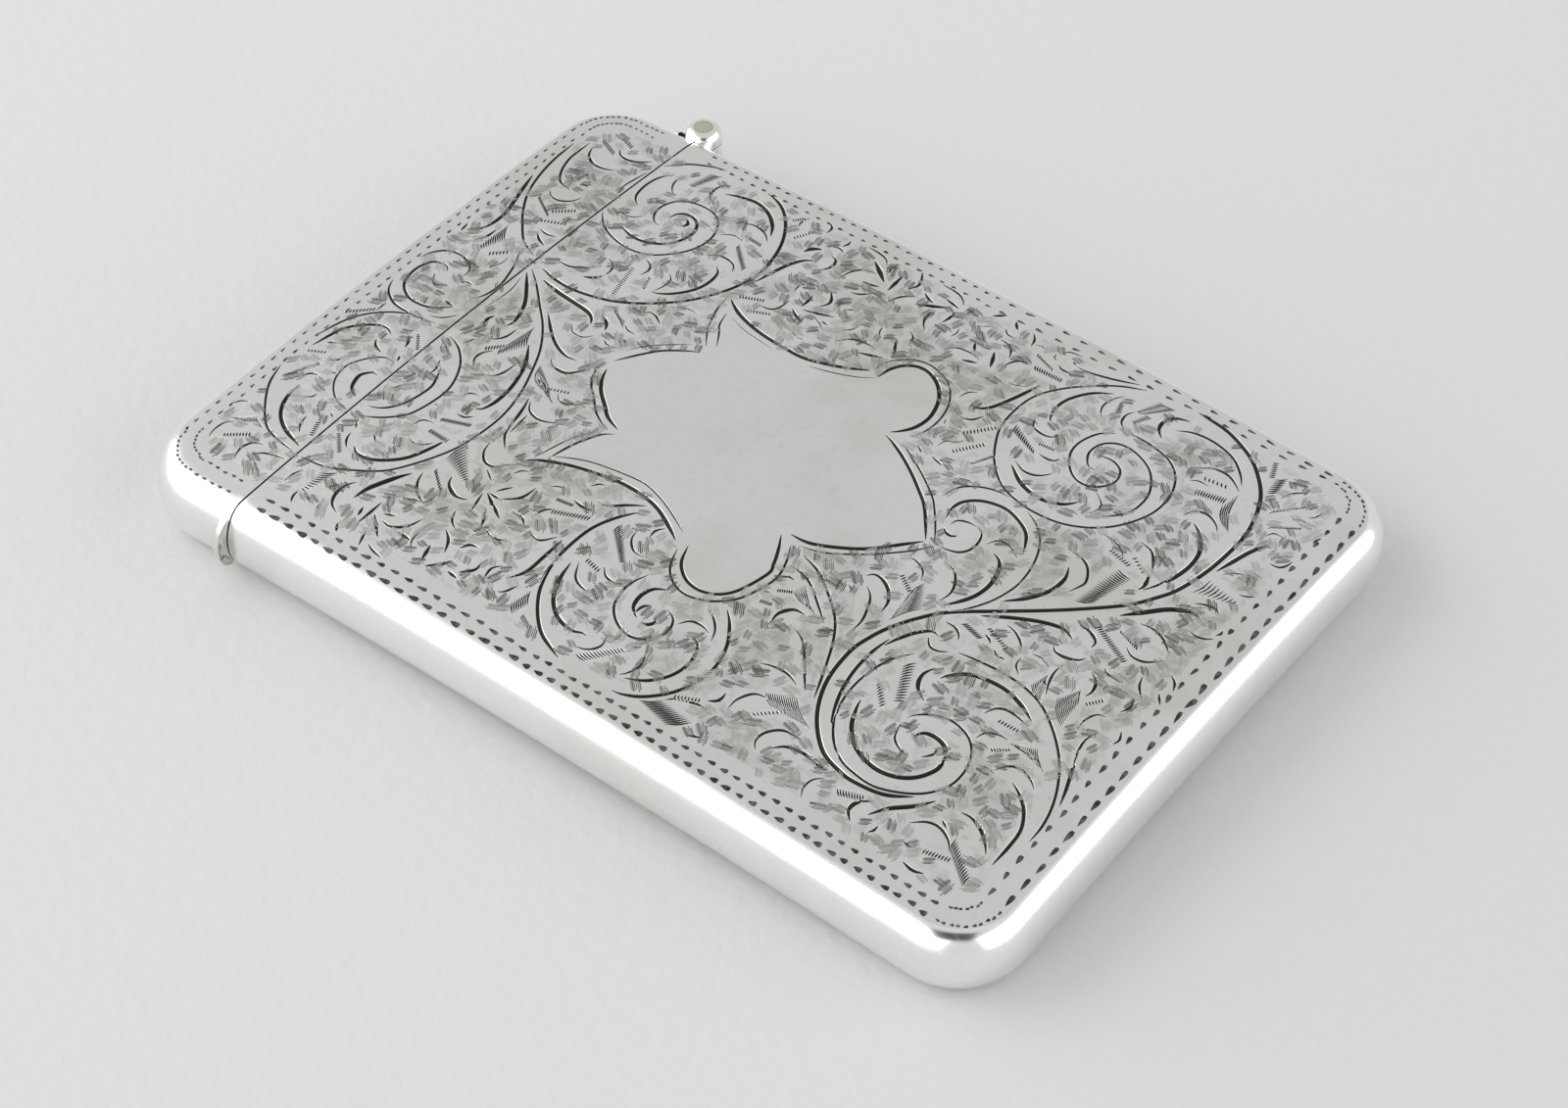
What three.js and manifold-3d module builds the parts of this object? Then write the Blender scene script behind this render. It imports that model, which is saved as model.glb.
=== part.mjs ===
// Slim silver case for visiting cards, bowed to sit in a pocket.
// Millimetres, +Z up. X runs along the case, with the hinged lid at its -X end and the
// hinge on the +Y side. Everything is laid out from the middle of the front plate, and
// the finished group is then stood on z = 0 with its box centred over the origin.

import * as THREE from "three";
import { mergeVertices } from "three/addons/utils/BufferGeometryUtils.js";
import Module from "manifold-3d";

const wasm = await Module();
wasm.setup();

// Driving dimensions
const HALF_LENGTH = 38.9; // middle to the end of the flat of a plate
const HALF_WIDTH = 27.55;
const CORNER_RADIUS = 4.2; // corner of that flat, where the rounded side begins
const SIDE_BULGE = 2.1; // how far the rounded side stands out from the flat
const HALF_THICKNESS = 3.26;
const BOW_ALONG = 0.001265; // curvature of the plates, 1/mm, along the length
const BOW_ACROSS = 0.00211; // and across the width
const WALL = 0.4;
const SEAM_X = -29.85; // where the lid meets the body
const SEAM_GAP = 0.16;
const SOLDER_GAP = 0.12; // between the front and back halves of a shell

const RIM_CLEARANCE = 0.2; // between the rim and the walls round it
const RIM_THICKNESS = 0.25;
const RIM_INTO_LID = 3.6;
const RIM_INTO_BODY = 2.2;

const HINGE_X = -30.05;
const HINGE_Y = 29.85;
const KNUCKLE_RADIUS = 1.65;
const KNUCKLE_EDGE = 0.45; // rounding of the two outer ends
const KNUCKLE_GAP = 0.15;
const OUTER_KNUCKLE_LENGTH = 1.5; // the lid's top and bottom knuckles
const HINGE_ABOVE_PLATE = 0.45; // top of the hinge over the plate beside it
const HINGE_LENGTH = 7.0;
const PIN_RADIUS = 0.78;
const BORE_RADIUS = 0.85;
const NOTCH_RADIUS = 1.95; // cut in the walls round the knuckles
const LEAF_LENGTH = 1.3;
const LEAF_THICKNESS = 0.4;
const LEAF_REACH = 0.92; // half angle of a leaf round the side, radians
const PATCH_GAP = 0.1; // between a piece soldered on the side and the side

const THUMB_LENGTH = 1.45;
const THUMB_PROUD = 0.95;
const THUMB_REACH = 0.74; // half angle of the thumb-piece round the side, radians

const CORNER_STEPS = 5;
const STRAIGHT_STEP = 9;
const RINGS = [0.1, 0.4, 0.7, 1];
const SIDE_STEPS = 5;
const ROUND_STEPS = 24;

const silver = { color: 0xd4d2cc, roughness: 0.25, metalness: 1 };
const dullSilver = { color: 0xbdb9b0, roughness: 0.4, metalness: 1 };
const pinMetal = { color: 0xa9a28c, roughness: 0.4, metalness: 1 };

function bow(x, y) {
  return -(BOW_ALONG * x * x + BOW_ACROSS * y * y) / 2;
}

function middleHeight(x, y) {
  return bow(x, y) - HALF_THICKNESS;
}

// Each node is a mesh with its own material
function node(name, geometry, look) {
  const mesh = new THREE.Mesh(geometry, new THREE.MeshStandardMaterial(look));
  mesh.name = name;
  return mesh;
}

function geometryFrom(points, triangles) {
  const geometry = new THREE.BufferGeometry();
  geometry.setAttribute("position", new THREE.Float32BufferAttribute(points.flat(), 3));
  geometry.setIndex(triangles.flat());
  return geometry;
}

function solidOf(geometry) {
  const bare = geometry.clone();
  bare.deleteAttribute("normal");
  bare.deleteAttribute("uv");
  const merged = mergeVertices(bare, 1e-5);
  return new wasm.Manifold(
    new wasm.Mesh({
      numProp: 3,
      vertProperties: new Float32Array(merged.attributes.position.array),
      triVerts: new Uint32Array(merged.index.array),
    }),
  );
}

function cut(geometry, tool) {
  const mesh = solidOf(geometry).subtract(solidOf(tool)).getMesh();
  const result = new THREE.BufferGeometry();
  result.setAttribute("position", new THREE.Float32BufferAttribute(mesh.vertProperties, 3));
  result.setIndex(Array.from(mesh.triVerts));
  return result;
}

// Triangles of a strip of four-sided faces between two rows of point numbers
function strip(rowA, rowB) {
  const faces = [];
  for (let i = 0; i + 1 < rowA.length; i += 1) {
    faces.push([rowA[i], rowA[i + 1], rowB[i + 1]]);
    faces.push([rowA[i], rowB[i + 1], rowB[i]]);
  }
  return faces;
}

function flipped(faces) {
  return faces.map(([a, b, c]) => [a, c, b]);
}

// Points along a straight edge, without its last one
function straight(from, to, normal) {
  const steps = Math.ceil(from.distanceTo(to) / STRAIGHT_STEP);
  return Array.from({ length: steps }, (_, i) => ({
    at: from.clone().lerp(to, i / steps),
    normal,
  }));
}

// Outline of the flat of the plate from the seam round the +X end (end = 1) or the
// -X end (end = -1) and back to the seam, with the outward direction at each point
function outline(end, seam) {
  const cornerX = HALF_LENGTH - CORNER_RADIUS;
  const cornerY = HALF_WIDTH - CORNER_RADIUS;
  const point = (x, y) => new THREE.Vector2(x * end, y * end);
  const direction = (angle) => new THREE.Vector2(Math.cos(angle), Math.sin(angle)).multiplyScalar(end);
  const corner = (y, start) =>
    Array.from({ length: CORNER_STEPS }, (_, i) => {
      const normal = direction(start + (i / CORNER_STEPS) * (Math.PI / 2));
      return { at: point(cornerX, y).addScaledVector(normal, CORNER_RADIUS), normal };
    });
  const quarter = Math.PI / 2;
  const seamHere = seam * end;
  return [
    ...straight(point(seamHere, -HALF_WIDTH), point(cornerX, -HALF_WIDTH), direction(-quarter)),
    ...corner(-cornerY, -quarter),
    ...straight(point(HALF_LENGTH, -cornerY), point(HALF_LENGTH, cornerY), direction(0)),
    ...corner(cornerY, 0),
    ...straight(point(cornerX, HALF_WIDTH), point(seamHere, HALF_WIDTH), direction(quarter)),
    { at: point(seamHere, HALF_WIDTH), normal: direction(quarter) },
  ];
}

// One half of a box end: a bowed plate with its rounded side, open at the seam.
// face is 1 for the front half and -1 for the back half.
function halfShell(end, face) {
  const seam = SEAM_X + (end * SEAM_GAP) / 2;
  const sides = outline(end, seam);
  const seamEdge = straight(sides.at(-1).at, sides[0].at, null).slice(1);
  const loop = [...sides, ...seamEdge];
  const pole = new THREE.Vector2(end > 0 ? 0 : (seam - HALF_LENGTH) / 2, 0);
  const points = [];
  const add = (x, y, z) => points.push([x, y, z]) - 1;

  function sheet(inset) {
    const height = HALF_THICKNESS - inset;
    const level = middleHeight(pole.x, pole.y) + face * height;
    const centre = add(pole.x, pole.y, level);
    const rings = RINGS.map((share, ring) =>
      loop.map(({ at }) => {
        const p = pole.clone().lerp(at, share);
        return add(p.x, p.y, ring === 0 ? level : middleHeight(p.x, p.y) + face * height);
      }),
    );
    const side = [rings.at(-1).slice(0, sides.length)];
    for (let step = 1; step <= SIDE_STEPS; step += 1) {
      const angle = ((step / SIDE_STEPS) * Math.PI) / 2;
      side.push(
        sides.map(({ at, normal }) => {
          const p = at.clone().addScaledVector(normal, (SIDE_BULGE - inset) * Math.sin(angle));
          const rise = SOLDER_GAP / 2 + (height - SOLDER_GAP / 2) * Math.cos(angle);
          return add(p.x, p.y, middleHeight(at.x, at.y) + face * rise);
        }),
      );
    }
    const closed = rings.map((row) => [...row, row[0]]);
    const faces = closed[0].slice(1).map((b, i) => [centre, closed[0][i], b]);
    closed.slice(1).forEach((row, i) => faces.push(...flipped(strip(closed[i], row))));
    side.slice(1).forEach((row, i) => faces.push(...flipped(strip(side[i], row))));
    const seamRow = rings.at(-1).slice(sides.length - 1);
    const firstEdge = side.map((row) => row[0]).reverse();
    const lastEdge = side.map((row) => row.at(-1));
    return { faces, rim: [...side.at(-1), ...lastEdge.reverse(), ...seamRow.slice(1), ...firstEdge.reverse()] };
  }

  const outer = sheet(0);
  const inner = sheet(WALL);
  const faces = [...outer.faces, ...flipped(inner.faces), ...flipped(strip(outer.rim, inner.rim))];
  return geometryFrom(points, face > 0 ? faces : flipped(faces));
}

// Section of the box across its width, inset from its outer surface: a closed ring of
// points given by their y and their height over the middle
function section(inset) {
  const height = HALF_THICKNESS - inset;
  const bulge = SIDE_BULGE - inset;
  const plate = Array.from({ length: 7 }, (_, i) => ({ y: HALF_WIDTH * (1 - i / 3), height }));
  const nearSide = Array.from({ length: 7 }, (_, i) => {
    const angle = ((i + 1) / 8) * Math.PI;
    return { y: -HALF_WIDTH - bulge * Math.sin(angle), height: height * Math.cos(angle) };
  });
  const half = [...plate, ...nearSide];
  return [...half, ...half.map((p) => ({ y: -p.y, height: -p.height }))];
}

// The rim: a band inside the mouth of the body, standing out into the lid
function rimBand() {
  const places = [SEAM_X - RIM_INTO_LID, SEAM_X, SEAM_X + RIM_INTO_BODY];
  const points = [];
  const ringAt = (x, inset) =>
    section(inset).map(({ y, height }) => {
      const edge = THREE.MathUtils.clamp(y, -HALF_WIDTH, HALF_WIDTH);
      return points.push([x, y, middleHeight(x, edge) + height]) - 1;
    });
  const closed = (row) => [...row, row[0]];
  const outer = places.map((x) => closed(ringAt(x, WALL + RIM_CLEARANCE)));
  const inner = places.map((x) => closed(ringAt(x, WALL + RIM_CLEARANCE + RIM_THICKNESS)));
  const faces = [];
  outer.slice(1).forEach((row, i) => faces.push(...strip(outer[i], row)));
  inner.slice(1).forEach((row, i) => faces.push(...flipped(strip(inner[i], row))));
  faces.push(...flipped(strip(outer[0], inner[0])));
  faces.push(...strip(outer.at(-1), inner.at(-1)));
  return geometryFrom(points, faces);
}

// A piece soldered on the rounded side, side = 1 for +Y, between two places along X and
// two angles round the side. proud(t) is its thickness, with t running from -1 to 1.
function sidePatch(side, fromX, toX, fromAngle, toAngle, proud) {
  const steps = 10;
  const level = middleHeight((fromX + toX) / 2, HALF_WIDTH);
  const at = (i, out) => {
    const angle = fromAngle + (i / steps) * (toAngle - fromAngle);
    const across = HALF_WIDTH + (SIDE_BULGE + out) * Math.cos(angle);
    return new THREE.Vector2(side * across, level + (HALF_THICKNESS + out) * Math.sin(angle));
  };
  const inside = Array.from({ length: steps + 1 }, (_, i) => at(i, PATCH_GAP));
  const outside = Array.from({ length: steps + 1 }, (_, i) =>
    at(i, PATCH_GAP + proud((2 * i) / steps - 1)),
  );
  const shape = new THREE.Shape([...inside, ...outside.reverse()]);
  const geometry = new THREE.ExtrudeGeometry(shape, {
    depth: toX - fromX,
    bevelEnabled: false,
    curveSegments: 1,
  });
  // The drawing's right becomes Y, its up becomes Z, and its depth becomes X
  const turn = new THREE.Matrix4().makeBasis(
    new THREE.Vector3(0, 1, 0),
    new THREE.Vector3(0, 0, 1),
    new THREE.Vector3(1, 0, 0),
  );
  return geometry.applyMatrix4(turn).translate(fromX, 0, 0);
}

// A turned piece on the hinge's axis, from a profile of [radius, height] points
function turned(profile) {
  const points = profile.map(([radius, height]) => new THREE.Vector2(radius, height));
  return new THREE.LatheGeometry(points, ROUND_STEPS)
    .rotateX(Math.PI / 2)
    .translate(HINGE_X, HINGE_Y, 0);
}

function knuckle(bottom, top, bottomEdge, topEdge) {
  return turned([
    [BORE_RADIUS, bottom],
    [KNUCKLE_RADIUS - bottomEdge, bottom],
    [KNUCKLE_RADIUS, bottom + bottomEdge],
    [KNUCKLE_RADIUS, top - topEdge],
    [KNUCKLE_RADIUS - topEdge, top],
    [BORE_RADIUS, top],
    [BORE_RADIUS, bottom],
  ]);
}

const hingeTop = bow(HINGE_X, HALF_WIDTH) + HINGE_ABOVE_PLATE;
const hingeBottom = hingeTop - HINGE_LENGTH;
const bodyKnuckleTop = hingeTop - OUTER_KNUCKLE_LENGTH;
const bodyKnuckleBottom = hingeBottom + OUTER_KNUCKLE_LENGTH;

function notch(margin) {
  return turned([
    [0, hingeBottom - margin],
    [NOTCH_RADIUS, hingeBottom - margin],
    [NOTCH_RADIUS, hingeTop + margin],
    [0, hingeTop + margin],
  ]);
}

function pin() {
  return turned([
    [0, hingeBottom],
    [PIN_RADIUS, hingeBottom],
    [PIN_RADIUS, hingeTop],
    [0, hingeTop],
  ]);
}

const leafThickness = () => LEAF_THICKNESS;
const thumbThickness = (t) => 0.12 + (THUMB_PROUD - 0.12 - PATCH_GAP) * (1 - t * t);
const leafGap = NOTCH_RADIUS + 0.05;
const seamFace = SEAM_X - SEAM_GAP / 2;

const body = new THREE.Group();
body.add(
  node("body_front_shell", cut(halfShell(1, 1), notch(1)), silver),
  node("body_back_shell", cut(halfShell(1, -1), notch(1)), silver),
  node("body_rim", cut(rimBand(), notch(1)), dullSilver),
  node("body_knuckle", knuckle(bodyKnuckleBottom, bodyKnuckleTop, 0.02, 0.02), silver),
  node(
    "body_hinge_leaf",
    sidePatch(1, HINGE_X + leafGap, HINGE_X + leafGap + LEAF_LENGTH, -LEAF_REACH, LEAF_REACH, leafThickness),
    silver,
  ),
);

const lid = new THREE.Group();
lid.add(
  node("lid_front_shell", cut(halfShell(-1, 1), notch(1)), silver),
  node("lid_back_shell", cut(halfShell(-1, -1), notch(1)), silver),
  node(
    "lid_knuckle_top",
    knuckle(bodyKnuckleTop + KNUCKLE_GAP, hingeTop, 0.02, KNUCKLE_EDGE),
    silver,
  ),
  node(
    "lid_knuckle_bottom",
    knuckle(hingeBottom, bodyKnuckleBottom - KNUCKLE_GAP, KNUCKLE_EDGE, 0.02),
    silver,
  ),
  node("hinge_pin", pin(), pinMetal),
  node(
    "lid_hinge_leaf",
    sidePatch(1, HINGE_X - leafGap - LEAF_LENGTH, HINGE_X - leafGap, -LEAF_REACH, LEAF_REACH, leafThickness),
    silver,
  ),
  node(
    "thumb_piece",
    sidePatch(-1, seamFace - THUMB_LENGTH, seamFace, -THUMB_REACH, THUMB_REACH, thumbThickness),
    silver,
  ),
);

const cardCase = new THREE.Group();
cardCase.add(body, lid);

// Stand the case on z = 0 with its box centred over the origin
const box = new THREE.Box3().setFromObject(cardCase, true);
const centre = box.getCenter(new THREE.Vector3());
cardCase.position.set(-centre.x, -centre.y, -box.min.z);

export default cardCase;
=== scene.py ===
import bpy
import bmesh
import math
import numpy as np
from mathutils import Matrix, Vector, geometry, kdtree


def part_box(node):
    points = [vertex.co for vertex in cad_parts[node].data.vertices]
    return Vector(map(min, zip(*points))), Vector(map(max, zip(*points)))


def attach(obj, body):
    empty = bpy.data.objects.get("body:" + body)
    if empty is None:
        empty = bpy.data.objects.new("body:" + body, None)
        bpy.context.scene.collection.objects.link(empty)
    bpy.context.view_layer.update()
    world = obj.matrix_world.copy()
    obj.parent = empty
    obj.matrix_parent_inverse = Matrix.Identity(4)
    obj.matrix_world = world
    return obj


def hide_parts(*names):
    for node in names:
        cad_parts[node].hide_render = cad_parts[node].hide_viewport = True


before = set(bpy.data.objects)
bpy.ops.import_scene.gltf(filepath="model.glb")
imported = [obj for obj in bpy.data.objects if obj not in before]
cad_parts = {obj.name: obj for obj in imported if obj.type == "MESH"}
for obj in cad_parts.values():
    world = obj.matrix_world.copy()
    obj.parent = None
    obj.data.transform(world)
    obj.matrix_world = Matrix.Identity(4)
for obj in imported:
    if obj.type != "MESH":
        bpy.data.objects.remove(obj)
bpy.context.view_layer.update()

# ---------------------------------------------------------------------------------------------
# Body, front shell.  A sheet of sterling silver stamped to a slightly bowed plate with rolled
# sides, then engraved by hand: every leaf line and scroll is a real V-shaped cut in the plate.
# It is soldered to the back shell along the middle of its sides.
HALF_LENGTH = 38.9
HALF_WIDTH = 27.55
CORNER_RADIUS = 4.2
SIDE_BULGE = 2.1
HALF_THICKNESS = 3.26
WALL = 0.4
BOW_ALONG = 0.001265
BOW_ACROSS = 0.00211
SEAM_X = -29.85
SEAM_GAP = 0.16
ENGRAVED_PAST_EDGE = 0.5
SIDE_ROWS = 16
CUT_DEPTH = 0.3
CUT_WIDENING = 1.4
CUT_TAPER = 1.8
SHADING_CUT = 0.14
# Depth of cut, in mm, at which the cut attribute reaches 1, where a groove is painted fully dark as painted
# shade.
DARK_FROM_DEPTH = 0.012
FILL_SPACING = 0.55

shell_low, shell_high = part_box("body_front_shell")
PLATE_Y = shell_low[1] * 1000 + HALF_WIDTH + SIDE_BULGE
PLATE_Z = shell_high[2] * 1000


def placed(x, y, z):
    """A point given in millimetres from the middle of the front plate, in the frame's metres."""
    return (x / 1000, (y + PLATE_Y) / 1000, (z + PLATE_Z) / 1000)


def middle_height(x, y):
    """Height of the sheet halfway between the front and back plates."""
    return -(BOW_ALONG * x * x + BOW_ACROSS * y * y) / 2 - HALF_THICKNESS


def nearest_edge(x, y):
    """Distance outside the flat plate, and the plate's own point nearest to (x, y)."""
    qx = abs(x) - (HALF_LENGTH - CORNER_RADIUS)
    qy = abs(y) - (HALF_WIDTH - CORNER_RADIUS)
    beyond = math.hypot(max(qx, 0), max(qy, 0))
    out = beyond + min(max(qx, qy), 0) - CORNER_RADIUS
    if out <= 0:
        return 0.0, x, y
    nx = max(qx, 0) / beyond * math.copysign(1, x)
    ny = max(qy, 0) / beyond * math.copysign(1, y)
    return out, x - nx * out, y - ny * out


def surface_height(x, y, side, wall=0.0):
    """Height of the front (side 1) or back (side -1) plate, rolled over past its edge."""
    out, px, py = nearest_edge(x, y)
    drop = math.sqrt(max(0.0, 1 - (out / (SIDE_BULGE - wall)) ** 2))
    return middle_height(px, py) + side * (HALF_THICKNESS - wall) * drop


def plate_edge(seam, towards):
    """Points and outward directions round the plate's edge, from one end of the seam to the other."""
    lx, ly = HALF_LENGTH - CORNER_RADIUS, HALF_WIDTH - CORNER_RADIUS
    found = []
    for x in np.linspace(seam, towards * lx, 90 if towards > 0 else 9):
        found.append((x, -towards * HALF_WIDTH, 0, -towards))
    for k in range(1, 18):
        turn = math.pi / 2 * k / 18
        nx, ny = towards * math.sin(turn), -towards * math.cos(turn)
        found.append((towards * lx + nx * CORNER_RADIUS, -towards * ly + ny * CORNER_RADIUS, nx, ny))
    for y in np.linspace(-towards * ly, towards * ly, 64):
        found.append((towards * HALF_LENGTH, y, towards, 0))
    for k in range(1, 18):
        turn = math.pi / 2 * k / 18
        nx, ny = towards * math.cos(turn), towards * math.sin(turn)
        found.append((towards * lx + nx * CORNER_RADIUS, towards * ly + ny * CORNER_RADIUS, nx, ny))
    for x in np.linspace(towards * lx, seam, 90 if towards > 0 else 9):
        found.append((x, towards * HALF_WIDTH, 0, towards))
    return found


def smooth_line(points, spacing=0.28):
    """A soft curve through given points, as evenly spaced points."""
    p = np.array([2 * points[0] - points[1]] + list(points) + [2 * points[-1] - points[-2]])
    dense = []
    for a, b, c, d in zip(p[:-3], p[1:-2], p[2:-1], p[3:]):
        for t in np.linspace(0, 1, 12, endpoint=False):
            dense.append(0.5 * (2 * b + (c - a) * t + (2 * a - 5 * b + 4 * c - d) * t * t
                                + (3 * b - a - 3 * c + d) * t ** 3))
    dense = np.array(dense + [p[-2]])
    run = np.concatenate([[0], np.cumsum(np.hypot(*np.diff(dense, axis=0).T))])
    count = max(5, int(run[-1] / spacing) + 1)
    even = np.linspace(0, run[-1], count)
    return np.column_stack([np.interp(even, run, dense[:, 0]), np.interp(even, run, dense[:, 1])])


def read_cuts(text):
    """Cuts written as 'width in hundredths: x y, x y, ...;' with x and y in millimetres."""
    cuts = []
    for item in " ".join(text.split()).split(";"):
        if ":" in item:
            width, places = item.split(":")
            points = [np.array([float(v) for v in place.split()]) for place in places.split(",")]
            cuts.append((float(width) / 100, smooth_line(points)))
    return cuts


def read_shading(text):
    """Rows of fine leaf shading: 'count: start line, start line, end line, end line;'."""
    cuts = []
    for item in " ".join(text.split()).split(";"):
        if ":" in item:
            count, places = item.split(":")
            a, b, c, d = [np.array([float(v) for v in place.split()]) for place in places.split(",")]
            for t in np.linspace(0, 1, int(count)):
                start, end = a + (b - a) * t, c + (d - c) * t
                side = np.array([end[1] - start[1], start[0] - end[0]]) * 0.08
                cuts.append((SHADING_CUT, smooth_line([start, (start + end) / 2 + side, end], 0.4)))
    return cuts


cartouche_cuts = read_cuts("""
30: -15.2 -11.6, -14 -10.7, -11.9 -9.8, -9.8 -9.25, -7.75 -8.9, -5.65 -8.9, -3.6 -9.35, -1.5 -10.45, -0.35
-11.2; 12: -13.7 -9.9, -11.7 -8.85, -9.8 -8.3, -6.5 -7.85, -4.6 -8.2, -2.75 -8.95, -0.35 -10.2; 30: -16.7
0.55, -16.2 -0.7, -15.35 -1.85, -14 -3, -13 -3.85, -11.35 -4.55; 18: -17.4 1.15, -17.3 0.1, -16.6 -1.55,
-15.3 -2.8, -14 -4.05, -12.3 -5; 20: -17.6 0.4, -17 -0.9; 20: -16.85 1.4, -16.4 2.2, -15.55 3.55, -14.5 4.9,
-13 6.05, -12 6.55; 10: -16.9 2.95, -15.95 4.4, -14.7 5.65, -13 7.05; 15: -14.55 13.4, -14.3 11.7, -13.5
9.5, -12.85 8.45, -12.1 7.4; 15: -13.4 11.8, -12.95 10.25, -12.4 9.5, -11.35 7.8; 30: -14.2 13.6, -14 13.2,
-12.3 12.2, -9.8 11.5, -6.9 11.25, -5.05 11.3, -2.95 12, -1.5 12.7, -0.05 13.55; 8: -12.75 11.6, -10.9
10.95, -7.55 10.5; 10: -4.5 10.65, -2.3 11.35, -0.45 12.2, 0.7 13.05; 15: 0 13.55, 0 14.4, 0.4 15.45, 1.4
16.5, 2.65 17.05, 3.9 16.95, 5.4 16.3, 6.4 15.15, 7.05 13.9, 7.4 12.35, 7.35 10.65, 6.85 9.1; 30: 0.7 13.05,
0.75 13.6, 0.9 14.6, 1.4 15.55, 2.35 16.25, 3.5 16.3, 4.75 15.65, 5.8 14.5, 6.4 13.15, 6.65 11.7, 6.4 10.25,
5.7 9.1, 5.15 8.55; 25: 5.05 8.15, 6 7.85, 7.65 7, 9.35 5.9, 10.8 4.8, 12 3.8, 13.25 2.3, 14.4 0.7; 15: 6.5
8.4, 8.1 7.5, 9.95 6.4, 12 4.9, 13.05 3.75, 14.1 2.4, 15.1 0.85; 30: 14.4 0.65, 13.25 -0.7, 12 -2.2, 10.8
-3.3, 8.9 -4.5, 7.45 -5.1, 5.9 -5.2; 15: 15.3 0.75, 14.3 -0.7, 13.15 -1.95, 12 -3.1, 10.8 -4.05, 9.1 -5.2,
7.25 -5.8; 25: 5.4 -5.55, 6.2 -6.95, 6.85 -8.4, 7.15 -9.5, 6.5 -12.1, 5.6 -13.4, 4.35 -14, 3.1 -13.95, 2.05
-13.4, 1.2 -12.45, 0.6 -10.85; 18: 6.65 -6, 7.45 -7.6, 7.9 -9.2, 7.75 -10.65, 7.05 -12.75, 6 -14, 4.75
-14.75, 3.3 -15, 1.85 -14.45, 0.8 -13.3, 0.15 -11.6; 20: -11.3 -5, -12.1 -5.6, -12.75 -6.75, -13.3 -8.2,
-13.8 -10.4; 12: -12.75 -5.7, -13.5 -6.95, -14 -8.2, -14.75 -11;
""")
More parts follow.
